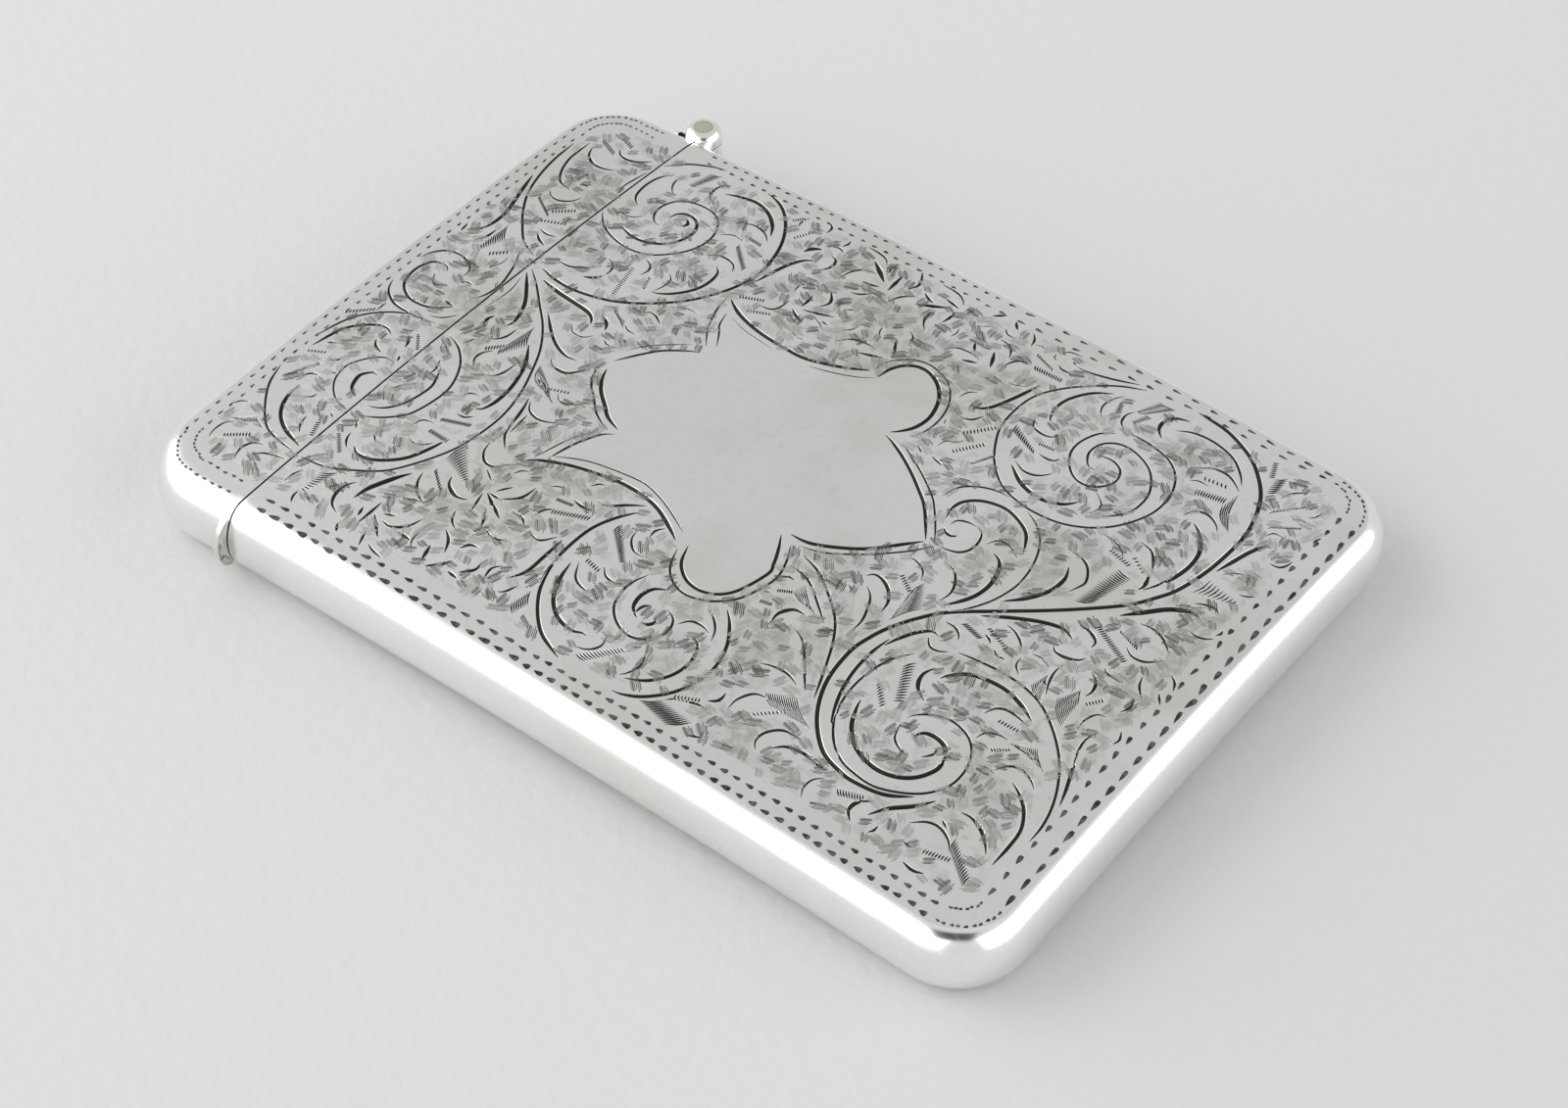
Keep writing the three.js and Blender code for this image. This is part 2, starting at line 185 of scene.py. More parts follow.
lower_left_cuts = read_cuts("""
30: -23.5 -1, -22.2 -3, -21.5 -4.9, -21.2 -6.5, -21.2 -8, -21.5 -9.1, -22.1 -9.45; 30: -21.4 -13.3, -21.8
-14.8, -22.6 -16.7, -23.9 -18, -25.1 -18.6, -26.2 -18.6, -26.9 -18.05; 18: -29.4 -4.05, -28.5 -4.35, -27.4
-5, -26.2 -6.3, -25.3 -8.2, -25.1 -10, -25.6 -12.65, -26.6 -14, -27.8 -14.9, -29 -15.4; 20: -27.3 -7.3,
-26.8 -8.4, -26.4 -9.7, -26.75 -11.9, -27.5 -13.3, -28.35 -13.95, -29.1 -14.15; 15: -28.55 -15.9, -28 -16.7;
20: -28.05 -17.1, -27.8 -17.95, -27.1 -18.75; 15: -26.6 -16.1, -25.6 -17; 20: -27.95 -6.65, -27.5 -7.8,
-27.6 -8.6; 20: -22.9 -10.65, -22 -10.65, -21.4 -10.1; 10: -24.9 -11, -24.5 -10.75; 15: -24.75 -14, -24.5
-12.95, -23.9 -12.6, -23.25 -12.55; 20: -24 -15, -23 -15.15, -22.3 -14.65, -22 -14.2; 15: -23.75 -9.15,
-23.45 -8.3, -22.5 -8; 30: -29.5 5.8, -28 4, -27 2.6, -26.4 1.2, -26.2 0.1, -26.5 -0.7; 10: -29.4 5.1, -29
3.25, -29.1 1.2, -29.3 -0.1; 30: -27.85 0, -28.15 -0.7, -27.9 -1.65; 20: -25.4 -0.1, -25.5 -1.35, -25.95
-2.15, -26.55 -2.5; 20: -27.3 -3.1, -27.75 -4.15; 20: -25.15 -3.3, -25.75 -4.05, -25.85 -4.9, -25.3 -5.8;
20: -22.75 -3.3, -22.85 -4.65, -23.25 -5.6, -24.1 -6.15; 25: -24.8 2.9, -23.25 1.4, -22.2 0.55, -21.15
-0.05, -20.1 -0.35, -19 -0.2; 35: -27.85 5.8, -25.95 5.35, -23.9 5.1, -22.4 4.9, -21.6 4.5, -21.05 3.75; 30:
-21.3 5.25, -20.55 5, -20 4.5, -19.7 3.85; 15: -22.3 2.95, -21.8 2.3, -21.15 2.15, -20.45 2.3, -20 3; 20:
-18.6 7.9, -17.7 7.9, -16.6 7.2; 15: -19 5.55, -18.25 5.1, -17.3 5.1; 15: -19.1 3.15, -18.65 2.75, -17.95
2.75; 25: -21.05 -1.25, -20.35 -1.85, -19.4 -2, -18.65 -1.75, -17.85 -0.5; 15: -17.95 -4.05, -17.4 -4.65,
-16.7 -4.7, -15.95 -4.3, -15.25 -3.45; 20: -19.1 -6, -18.45 -6.95, -17.4 -7.35, -16.4 -7.15, -15.6 -6.65;
25: -19.4 -5.8, -19 -6.95, -18.65 -8.4, -18.45 -9.75; 20: -18.2 -7.4, -18 -9.9; 20: -18.45 -9, -18.15
-10.25, -17.05 -11.55; 20: -18.55 -11.5, -18.25 -12.65, -17.4 -13.5, -16.4 -13.4, -15.65 -12.4; 15: -16.9
-13.9, -15.55 -14.85; 15: -14.9 -13.3, -14.5 -12.5, -13.8 -12.2; 20: -14.7 -15.5, -14.3 -14.85, -13.8 -14.2;
30: -18.5 -16.1, -18.05 -17, -17 -17.6, -16.2 -17.55, -15.7 -17.3; 25: -20.55 -17.1, -20.2 -18.2, -19.3
-19.2, -18.1 -19.75; 15: -19.9 -20.25, -19 -19.75, -18.25 -19.7; 40: -21.1 -17.7, -21.8 -18.8, -22.4 -20,
-22.85 -21.1, -23.05 -22.5; 25: -23.9 -20.9, -24.4 -21.7, -24.5 -22.75, -24 -23.8, -22.95 -24.4; 15: -28.15
-22.3, -28.6 -23.2, -28.65 -24.3; 20: -27 -24.2, -27 -24.95, -26.6 -25.65; 20: -15.2 -15.85, -13.5 -15.9;
35: -15.2 -15.85, -12.45 -17.55; 20: -15.4 -16, -14.8 -18.3; 25: -20.95 -21.4, -21 -24.3; 30: -20.65 -22.65,
-18.7 -24.5; 30: -15 -22.55, -14.5 -24.3; 20: -24.7 -24.1, -24.6 -25.05; 25: -22.3 -25, -21.7 -25.9; 25:
-21.8 -22.6, -21.5 -23.7; 30: -18 -23.1, -16.5 -23.2; 20: -20 -24.3, -19.35 -26; 20: -19 -25.25, -18.25
-25.65, -17 -25.9; 20: -20.1 -22.35, -19 -21.9; 25: -19.8 -22.9, -18.7 -23, -17.7 -22.25, -17.2 -20.9; 15:
-16.5 -22, -16.5 -23, -15.95 -23.85; 25: -15.2 -20.65, -14.2 -21.5, -13.55 -22.75; 20: -15.85 -18.7, -15.4
-19.7, -14.5 -20.35; 35: -14.2 -17.1, -13.7 -18, -13.05 -19.2;
18: -29.5 6.4, -27.8 5, -26 3.25, -24.1 1.4, -22.4 -0.9, -21.2 -3.4, -20.2 -6.1, -19.7 -9, -19.9 -12.1,
-20.4 -14.2, -21.6 -16.7, -23 -18.75, -24.9 -20.1, -27 -21.15, -28.9 -21.4, -29.8 -21.4, -32.2 -21.1, -33.9
-20.5, -35.5 -19, -37.1 -16.8, -37.9 -14.5; 15: -29.8 -15.4, -31.2 -15.2, -32.4 -14.4, -33.25 -13.2, -33.5
-11.7, -33 -10.5, -32.2 -9.5, -31.2 -9.05, -30.3 -9.5; 20: -29.8 -22.3, -31.15 -22.55, -32.1 -22.9, -32.75
-23.6;
""")
lid_cuts = read_cuts("""
18: -30.9 -3.6, -32.6 -3.85, -33.9 -4.15, -35.3 -5, -36.6 -6.35, -37.4 -8, -37.95 -10.5; 30: -30.65 -11.1,
-31.2 -11, -31.7 -11.5, -31.9 -12, -31.6 -13.05, -31 -13.7, -30 -13.9; 25: -33 -6.85, -33.8 -6.4, -34.6
-6.5, -35.5 -7.05, -36.4 -8, -36.9 -9.05, -37.4 -11.6; 30: -35 -15.4, -35 -16.5, -34.6 -17.9, -33.7 -19.1,
-32.3 -20, -30.15 -20.7; 20: -32.15 -17.75, -31.9 -18.8, -31.3 -19.6; 15: -33.15 -15.35, -33.3 -16, -34
-16.4; 20: -35.65 -14.7, -35.2 -14, -34.45 -13.75; 15: -34 -13.1, -33.45 -12.7; 20: -34.4 -11, -34.6 -11.7,
-35.3 -11.95; 20: -36.7 -10.55, -35.85 -10.05; 25: -33.75 -7.8, -33.25 -8.5, -32.2 -8.9; 25: -32 -5.9, -31.4
-6.65, -31.15 -7.4; 20: -30.85 -8.2, -30.55 -8.95; 15: -30.85 -16.4, -30.3 -16.8; 15: -36.05 -3.95, -36.05
-5.4; 15: -36.2 -21.5, -36.9 -22.1, -37.05 -23.2, -36.8 -24.1; 15: -36.9 -19.25, -37.5 -19.5, -38 -20.25;
20: -32.5 -22.1, -33.45 -22.45, -33.9 -23.4, -33.55 -24.7; 20: -33.25 2, -33.25 2.85, -33.75 3.55, -35 4.1,
-36.4 3.9, -37.3 2.95, -37.7 1.8; 22: -34.65 1.75, -35 2.25, -35.65 2.4, -36.5 2, -36.95 0.75, -36.8 -0.7,
-36.2 -1.75, -35 -2.5, -33.65 -2.6, -32.4 -2.2, -31.15 -1.1; 20: -35.35 1.15, -34.9 0.35, -34.3 0, -33.45
0.55; 20: -37.6 -1.45, -37.1 -2.6, -36.2 -3.4, -35.1 -3.85, -33.25 -3.95, -31.15 -3.85; 15: -30.2 -1.65,
-31.15 -2.8, -32.3 -3.25; 25: -32.5 -1, -31.3 -1.25; 18: -31.7 7.5, -30.95 6.15, -30.45 4.7, -30.1 3.25,
-30.15 1.8, -30.55 0.75, -31.05 0.35; 10: -31.9 6.4, -31.8 5.35, -32.3 4.05; 15: -32.95 1.4, -32.4 1.8,
-31.7 1.7; 20: -37.65 21.7, -37.5 19, -37 16.3, -36.15 13.8, -34.9 11.7, -33.65 10.15, -32.2 8.65, -30.2
7.6; 30: -37.5 16.1, -36.9 14, -36.25 11.9, -35.85 10.25, -35.9 8.4, -36.4 7.6; 25: -35 8.55, -35.1 7.2,
-35.6 6.2; 20: -37.5 7.75, -37.25 6.4; 15: -30.1 22.55, -30.35 20.65, -30.45 19.6, -30.2 18.4; 25: -34.1
23.5, -33.45 22.8, -32.4 22.65, -31.5 23.05, -30.65 23.8; 25: -36.05 22.25, -35.55 21.1, -34.5 20.4, -33.25
20.4, -32.25 20.85; 20: -36.6 22.6, -36.6 21, -36.5 19.6, -35.95 17.95, -35.15 16.8, -34.3 16.45, -33.45
16.3; 20: -35 15.35, -34.5 14.8, -33.55 14.6, -32.6 15.15, -32.1 16.2; 20: -33.55 17.6, -32.6 17.6; 15:
-31.5 13.25, -30.75 13.35, -30.1 14; 20: -32.4 10.75, -31.3 10.5, -30.3 10.75; 25: -32.1 10.25, -31.4 9.6,
-30.4 9.15;
""")
upper_left_cuts = read_cuts("""
20: -24.9 26.8, -26.3 26.4, -28 25.5, -29.2 24.3, -29.9 23.2; 18: -29.8 16.1, -29.3 15.3, -28 14.1, -26.3
13.4, -24.6 13.2, -23 13.6, -21.7 14.7, -20.7 16.2, -20.3 17.9, -20.6 19.6, -21.6 21, -23 21.5, -24.7 21.3,
-25.7 20.6, -26.2 19.3, -26 18.1, -25.3 17.3, -24.5 17.2; 26: -24.7 18.3, -24.6 19.2, -23.9 19.8, -22.9
19.7, -22.2 19, -21.9 17.9, -22.2 16.5, -23 15.4, -24.4 14.7, -25.8 14.7, -27.4 15.2; 32: -23.5 19.4, -23
18.8, -23.2 18.1; 26: -20.6 26.5, -19 26, -17.6 25, -16.3 23.4, -15.3 21.5, -14.7 19.5, -14.4 17.3, -14.8
15, -15.6 13, -16.8 11, -18.5 9.2, -20.5 7.7, -22.5 6.8, -25 6.3, -27 6.4, -28.9 6.9; 32: -23.2 24, -22
24.5, -20.3 24.8, -18.8 24.3, -17.5 23.2, -16.6 21.8; 20: -19.7 21.7, -18.6 22.2, -17.5 22, -16.9 21.6,
-16.4 21; 13: -20.2 19.3, -19.2 20, -18.5 20, -17.9 19.8; 20: -19.3 16.4, -18.5 17.1, -17.4 17.2, -16.6
16.8, -16.2 16; 26: -17.8 16, -17.1 15.3, -16.9 14, -17.2 12.5, -18.2 11, -19.2 10.2, -19.9 10; 16: -20.2
12.9, -19.5 12.1, -19.5 11, -19.8 10.1; 20: -22.9 13.1, -22 12.6, -21.7 11.9, -21.9 11; 18: -25.4 11.3,
-24.5 10.8, -24.1 10, -24.2 8.9; 32: -24 9.5, -24.5 8.6, -25.5 8; 20: -25.4 9.8, -26.1 9, -27.2 8.4, -28.8
8.5; 16: -27.2 24, -27.5 23, -27.2 22, -26.4 21.1; 20: -28 23.6, -28.8 22.5, -29.1 21, -28.9 19.4, -28.4
18.6, -27.7 18.1; 13: -28.5 16.7, -27.8 16.5, -27 16.8, -26.5 17.5; 20: -23.3 25.4, -24 24.8, -24.2 23.9,
-23.9 22.9, -22.8 22.3; 20: -15.6 26, -15.9 25.2, -15.7 24.4; 13: -17.5 9.3, -16.6 10, -15.7 10.2, -15 10.1;
""")
spray_cuts = read_cuts("""
20: -11.2 25.8, -11.1 25.1, -11.4 24.5; 20: -9.8 26, -8.3 25.9, -7.5 25.6, -7 25; 40: -8.2 24.9, -7 24, -5.8
23; 20: -6.3 25.8, -6.5 25, -6.3 24.3; 32: -5.2 24.8, -5.1 23.5, -5 22.3; 26: -4.3 26.3, -3.7 25.3, -3.5
24.5, -3.9 23.5; 26: -2.6 24.2, -1.8 23.7, -1.1 23.5; 26: -0.9 24.7, 0 24.5, 0.9 24.3; 20: -2.2 26, -0.5
25.9, 0.3 25.5, 0.9 24.8; 35: -2.3 22.4, -1 23.2, 0.2 23.9; 26: 0.8 23.9, 0.85 22.9, 0.7 21.9; 20: -0.5 23,
-0.7 22, -0.4 21, 0.3 20.2; 13: 2.2 22.4, 2.4 21.6, 2.2 20.9; 20: -4.2 21, -3.9 22.1, -3.4 22.8, -2.7 23.4;
20: -9 21, -8.8 22.3, -8.2 23.2, -7.4 23.5, -6.8 23.5; 26: -7.4 22, -6.5 22.1, -5.7 22.4; 20: -7.3 20.2,
-6.5 20.5, -5.7 21.3; 26: -11.4 23.1, -10.6 22.8, -10.4 21.8, -10.9 20.8; 40: -13.4 21.9, -13 22.8, -12.2
23.3; 18: -12 24, -11.3 24.3, -10.6 23.9; 30: -14 16.2, -13.7 18, -13.2 20, -12.5 21.2, -11.7 21.6; 26: -8.6
19.4, -7.9 18.6, -7.7 17.9, -8.1 17.1; 26: -9.3 18, -9.2 17, -9.2 16.1; 13: -10.9 18.6, -10.9 17.8, -10.7
17.3; 26: -9 15.9, -7.5 16.4, -6.2 16.9; 26: -9.7 15.6, -8.8 15, -7.8 14.6; 18: -6.9 15.8, -6 15.7; 13: -7.7
15.8, -6.8 15.5, -6.1 14.9; 13: -5.1 15.9, -4.4 16.4, -4.1 17.3; 13: -6.4 18.1, -5.9 18.4, -5.4 18.7; 20:
-4.6 14.4, -3.8 15.4, -3 15.8, -1.7 15.9, -1.3 15.7; 26: -2.4 14.5, -1.4 14.9, -0.2 15.4; 26: -0.9 18, -0.3
16.9, 0.3 15.8; 16: -0.8 19.5, 0 19, 0.4 17.8; 13: -2.6 18.5, -2.5 17.9, -2.1 17.2; 9: -3.3 13, -2.5 13.1,
-1.9 13.4; 9: -8.1 13.4, -7.3 13, -6.3 13; 20: -12.1 14.2, -11 14.3, -10.5 15, -10.4 16.4; 16: 2.6 19.2, 3.5
20.2, 4.8 20.4, 5.9 20.1; 26: 4.5 19.2, 5.2 19.5, 5.9 19.8; 32: 6 21.9, 6.5 20.9, 6.9 19.9; 26: 4.2 21.8,
4.5 21.2, 4.9 20.7; 20: 5.4 23.4, 6.6 23.2, 7.2 22.4, 7.4 21.8; 26: 3.3 25.3, 3.8 25.8, 4.3 26.3; 26: 5.2
26.2, 5.6 25.6, 6 25.2; 16: 5 24.9, 5.6 24.3, 6.6 24.2; 9: 3.2 23.5, 3.8 24, 4.4 24.4; 20: 7.1 25.9, 7.7
25.1, 7.9 24.2; 9: 7.9 24.6, 8.7 24.9, 9.5 24.6; 20: 7.5 20.5, 7.9 21.8, 8.5 22.3, 9.3 22.4; 9: 8.8 19.6,
9.6 19.5, 10.5 20.1; 13: 7 15.3, 7.3 16.4, 8 16.9; 30: 11.2 21, 10.8 19.5, 10.3 17.8, 9.7 16.2, 9 15.4, 8.1
15.3; 20: 8.3 13.6, 9.3 13.9, 9.9 15; 13: 9 9.6, 9.2 10.6, 9.9 11, 10.4 11.7; 9: 7.7 12.8, 8 12; 13: 10.2
25, 10.7 25.8, 12 26; 13: 10 25, 10.1 24.4, 10.6 24.2; 20: 10.8 24, 11.4 23.6, 12.5 23.7; 20: 12 24.7, 13
24.7, 15 25.3, 17.3 26.3; 18: 11.5 25, 12 24.8; 20: -14 26.6, -13.4 26, -13.4 25.1;
""")
upper_right_cuts = read_cuts("""
18: 18.1 26.1, 16 25, 14 23.2, 12.6 21.5, 11.6 19.6, 11.3 17.5, 11.5 15, 12.3 13, 13.6 11, 15.4 9.4, 17.5
8.7, 19.5 8.6, 21.5 9, 23.5 10.2, 25 12, 26 14.5, 26 17, 25.2 19, 23.8 20.3, 22 20.8, 20.5 20.9, 19.6 20.7;
18: 19 20.2, 17.9 19.2, 17.3 17.5, 17.4 16, 18.2 14.6, 19.4 13.7, 20.6 13.7, 21.6 14.6, 21.9 15.7, 21.5
16.8, 20.6 17.3, 19.6 17.2, 19 16.9; 18: 20.1 15.5, 19.3 15.6, 18.6 16.6, 18.5 17.6, 18.9 18.6, 19.9 19.3,
21.3 19.3, 22.9 18.6, 24 17.4, 24.7 15.8, 24.7 13.8, 24 12.4, 22.9 11.3; 13: 21.2 13.7, 22.3 12.9, 22.6
12.2, 22.3 11.1; 32: 14.5 11.9, 16.5 10.5, 18.5 10.1, 20 10.6, 20.8 11.4, 21 11.9; 20: 14.5 12.4, 15.8 11.8,
16.8 12, 17.5 12.7, 17.7 13.2; 20: 15.5 14.2, 16.3 14.1, 17 14.3, 17.2 14.9; 20: 13 17.5, 13.5 16.5, 14.5
16.2, 15.3 16.4, 15.7 17.1; 26: 16.3 24, 14.8 22.8, 13.8 21, 13.6 19.5, 13.9 18.3, 14.3 17.7; 16: 17.1 24.4,
16.5 23.4, 16.3 22.3, 16.6 21.4, 17.2 20.8; 20: 18.7 23.3, 18.3 22.5, 18.5 21.5, 19.2 20.9; 32: 22.7 25.3,
21.5 24.8, 21 23.8, 21.2 22.8, 22 22; 20: 22.2 23.5, 23.5 24.3, 25.3 24.5, 27.3 24, 28.7 22.9, 29.7 21.6;
20: 26 21.2, 27 21.9, 28.2 22, 29.2 21.5, 29.9 20.9; 13: 26.1 19.4, 26.8 19.9, 27.8 19.9; 20: 27.9 15.7,
28.3 16.8, 29.3 17.2, 30.3 16.8, 31 16; 32: 28.9 15.8, 30 15, 31 13.5, 31.3 11.8, 31.1 10, 30.6 8.6, 29.9 7;
20: 26.9 11.3, 28.2 11, 29 10, 29.6 8.9; 16: 24.2 10.1, 25.5 10, 26.5 9.5, 27 8.8; 32: 33.1 12.3, 33.5 14,
34 16, 34.6 17.3, 35.2 17.4; 20: 35.7 15.9, 36.5 16, 36.9 16.6, 37 17.4; 13: 33.6 12.4, 34.3 13.2, 35.2
13.7; 16: 35.7 11.5, 36.4 11.8, 36.9 12.3; 13: 33.9 18, 34.3 18.9, 35.2 19; 13: 34.5 21, 35 21.5, 35.7 21.7;
13: 35.3 22.1, 35.8 22.6, 36 23.7; 16: 32.6 22.4, 33 23.6, 34 24.6; 18: 37 20, 37.4 21; 30: 22.4 26.6, 25
26.4, 27 25.7, 29 24.5, 31 22.3, 32.1 20, 32.7 17.5, 32.8 15, 32.6 12, 32 9, 31.2 7.2, 30 5.2, 28 3, 25.5
0.6, 22.5 -2, 20 -4.2, 18.6 -6.1, 17.5 -8.2, 16.9 -10, 16.6 -12, 17 -15.3, 18.4 -18.3, 20.6 -20.6, 22.8
-21.4, 24.3 -21.5, 26.5 -21.1, 28.4 -19.9;
""")
lower_right_cuts = read_cuts("""
18: 7.8 8.8, 8.6 8.3; 18: 9.3 8.5, 10.8 8.1; 20: 7.9 -6.3, 10 -7, 12 -8.4, 13.8 -10, 15 -11.8, 16 -14, 17
-16.5, 17.3 -17.3; 18: 7.7 -7.8, 9 -7.9, 10.3 -8.4, 12 -9.7, 13.6 -11; 16: 8.1 -9.1, 8.6 -8.8, 9.3 -8.8; 16:
12.5 5.3, 13 7, 14.2 8.1, 15.5 8.6, 16.8 8.7; 16: 18.4 8.4, 20 7.5, 21.3 6, 22.1 4, 22.4 2, 22.3 0.5, 21.8
-1.3, 20.9 -3, 20 -4.1; 26: 14.2 3.6, 13.9 4.8, 14.2 6, 15.3 7, 17 7.45, 18.5 7.1, 19.8 6.3, 20.5 5.2, 20.9
4.3; 18: 14.8 3.2, 15 4, 15.8 4.4, 16.7 4.4; 20: 16.6 4.5, 17.3 4, 17.6 3, 17.5 2, 17 1.3, 16.2 1, 15.4 0.9;
26: 14.6 2.8, 15.1 2.4, 15.7 2.4, 16 2.8; 16: 18.1 3.2, 18.6 4.2, 19.5 4.4, 20.5 3.9, 20.9 3.6; 32: 19 3,
19.9 2.6, 20.5 1.6, 20.8 0, 20.6 -1.5, 20 -2.8, 19.2 -4; 20: 16.6 -0.2, 17.8 -0.4, 18.6 -1.3, 19 -2.5, 18.8
-3.8; 20: 14.3 -1.4, 15.3 -1.5, 16.1 -2, 16.5 -2.8; 9: 16.2 -1, 16.5 -1.5; 26: 13 -5.2, 13.4 -4.6, 14.2
-4.6, 15.2 -5.2, 15.9 -6.2, 16.1 -7.5; 20: 13.6 -5.8, 14.5 -6.5, 15.1 -7.7, 15.5 -9, 15.5 -10.4; 13: 12.5
-6.5, 13.1 -7; 32: 22 -3, 24 -1.6, 26 -0.5, 27.5 -0.05, 28.4 -0.3, 28.8 -0.6; 26: 28.2 1.1, 29.3 1, 30.2
0.4, 30.2 -0.4; 26: 27.9 -1.8, 28.4 -2.3, 29.3 -2.3, 30.2 -1.9, 30.6 -1.3; 20: 24 -2.4, 25 -2.6, 26 -3.3,
26.5 -4.2; 16: 26.8 -4.3, 26.9 -5.2, 27.7 -6; 13: 27.1 -3.6, 28.1 -3.5, 29.1 -4; 20: 23.3 -4.2, 23.9 -4.4,
24.3 -4.8; 20: 24.7 -4.9, 25.3 -5.4, 26.1 -5.3; 20: 20.3 -5.1, 21.3 -5.1, 22 -5.6, 22.2 -6.1; 20: 29.6 -2.8,
29.5 -4, 29.8 -5.2, 30.3 -6.3; 26: 31.6 -2.2, 32.4 -2.8, 32.7 -3.8, 32.5 -4.6; 18: 33.3 -2.4, 33.2 -3.2; 20:
35.4 -2.3, 35.7 -3.3, 35.3 -4.2; 20: 34.7 0, 35.1 -1.1, 36 -2.1; 20: 36.2 1.4, 36.9 0.9, 37.3 0; 20: 36.5
-0.6, 37 -1.3, 37.3 -1.7; 20: 31.6 4.1, 32.7 4.3, 33.8 4, 34.8 3.2, 35.2 2.8; 20: 32.1 1.6, 33 1, 34 1.1,
34.8 1.8, 35.1 2.3; 20: 32 -1.2, 32.6 -1.6, 33.9 -1.7; 40: 30 3.7, 31.3 5.3, 32.6 6.8, 34 7.6, 35 7.5; 20:
36.8 7.7, 36.9 7.2, 36.6 6.8; 20: 34.9 5.9, 35.7 5.8, 36.4 6.1, 36.8 6.5; 20: 33.6 8.5, 34.5 9, 35.3 9.1,
35.8 8.6; 32: 29.4 9, 29.8 7.6, 29.6 6.8; 20: 30.8 9.4, 30.5 8.2, 29.8 6.8; 20: 23.4 7, 24.5 6.9, 25.5 6.3,
26.2 5, 26 4, 25.7 3.2; 32: 24.3 5.6, 24.8 4.2, 24.6 2.4, 23.7 0.7, 22.4 -0.8; 18: 35 -5.1, 34.2 -5.4, 33.8
-6.4, 33.9 -7.6; 20: 36.4 -5.4, 36.8 -6.3, 36.6 -7.1; 18: 35.3 -6.6, 34.9 -7.8, 35.1 -9.2, 35.6 -10.5; 26:
35.1 -9, 35.8 -11, 36.4 -12.6, 36.9 -14.2; 20: 20.2 -7, 20.9 -7.8, 21.7 -7.8, 22.4 -7.3; 30: 21 -6.6, 20.2
-6.5, 19.3 -7.4, 18.6 -8.8, 18.2 -10; 26: 18.2 -9, 17.9 -11, 18 -13.5, 18.6 -16, 19.7 -18.2, 21 -19.7, 21.8
-20.3; 20: 22.8 -7, 24.5 -6.7, 26.5 -6.5, 28.5 -6.6, 30.5 -7.2, 32.5 -8.6, 34.3 -10.4, 35.5 -12.2, 36.4
-14.2, 36.9 -16.2, 37 -18.2; 18: 20.5 -9, 19.3 -11, 18.8 -14, 19.2 -16.8, 20.4 -19, 22 -20.4, 23.7 -20.9,
25.8 -20.9, 28.3 -19.6, 29.6 -17.8, 29.8 -16, 29.3 -14.3, 28.2 -13.1, 26.5 -12.6, 25 -13, 24 -13.8, 23.6
-14.5; 32: 25.4 -15.8, 25.1 -15.3, 25.6 -14.7, 26.6 -14.6, 27.5 -15, 28 -16, 28.1 -17, 27.4 -18.4, 26.2
-19.3, 24.5 -19.6, 22.5 -19, 21 -17.6, 20.2 -15.9, 20 -15; 32: 28.1 -14.8, 28 -16.2; 18: 23.6 -15, 24 -16.4,
25 -17.1, 26 -17.2; 20: 27 -15.1, 27.1 -16, 26.5 -16.8; 32: 23.3 -10, 23.6 -9.3, 24.6 -8.3, 26 -7.8, 27.8
-7.7, 29.5 -8.2, 31 -9; 32: 22.5 -9.2, 22.1 -10.4, 22.6 -11.6, 23.8 -12.4; 20: 27.7 -10.7, 28.2 -9.6, 29.2
-9.2, 31.1 -9.5; 20: 28.6 -12.9, 28.9 -12, 29.8 -11.5, 30.7 -11.5; 20: 31.3 -14.5, 32 -13.4, 33 -13.1, 34
-13.5, 34.7 -14.1; 26: 32.9 -14.4, 34 -15, 35.1 -16, 35.9 -17.5, 36.1 -19.2, 36.1 -21.5; 26: 31.6 -19, 32.6
-18.9, 33.8 -19.4, 34.8 -20.3, 35.3 -21; 20: 29.3 -22.1, 30.3 -21.2, 31.3 -21, 32.4 -21.5, 33.2 -22.4; 18:
31 -20.3, 31.8 -20.8; 32: 29.8 -19.2, 28.8 -20.6, 27.5 -21.9, 26.8 -23, 26.6 -23.4; 32: 26.4 -22, 25.5
-22.7, 25.3 -23.7, 26.1 -24.6; 20: 27.8 -23.5, 27.8 -24.1, 27.5 -24.6; 16: 22.4 -22.5, 21.7 -23.2, 21.6
-24.2, 22.1 -25.1; 18: 22.7 -25, 23.3 -24.7; 18: 30 -23.6, 30.8 -23.7; 26: 30.9 -25, 32 -25.2, 32.9 -24.9;
20: 16.9 -23.7, 16.3 -22.9, 16.4 -21.9, 17.2 -21, 18.2 -20.8, 19.1 -20.9; 26: 17.5 -22.9, 18.4 -22, 19.8
-21.7, 21 -21.9, 22.2 -22; 20: 12 -17, 13 -16.6, 14.3 -16.5, 15.7 -17; 32: 15 -15.5, 16.4 -17.1; 20: 12.9
-21.9, 12.9 -20.7, 13.6 -19.5, 14.9 -19.2; 20: 12 -12.6, 13.3 -13.3, 14.6 -14.8, 16.4 -17.1; 18: 12 -25.6,
13.2 -25;
""")
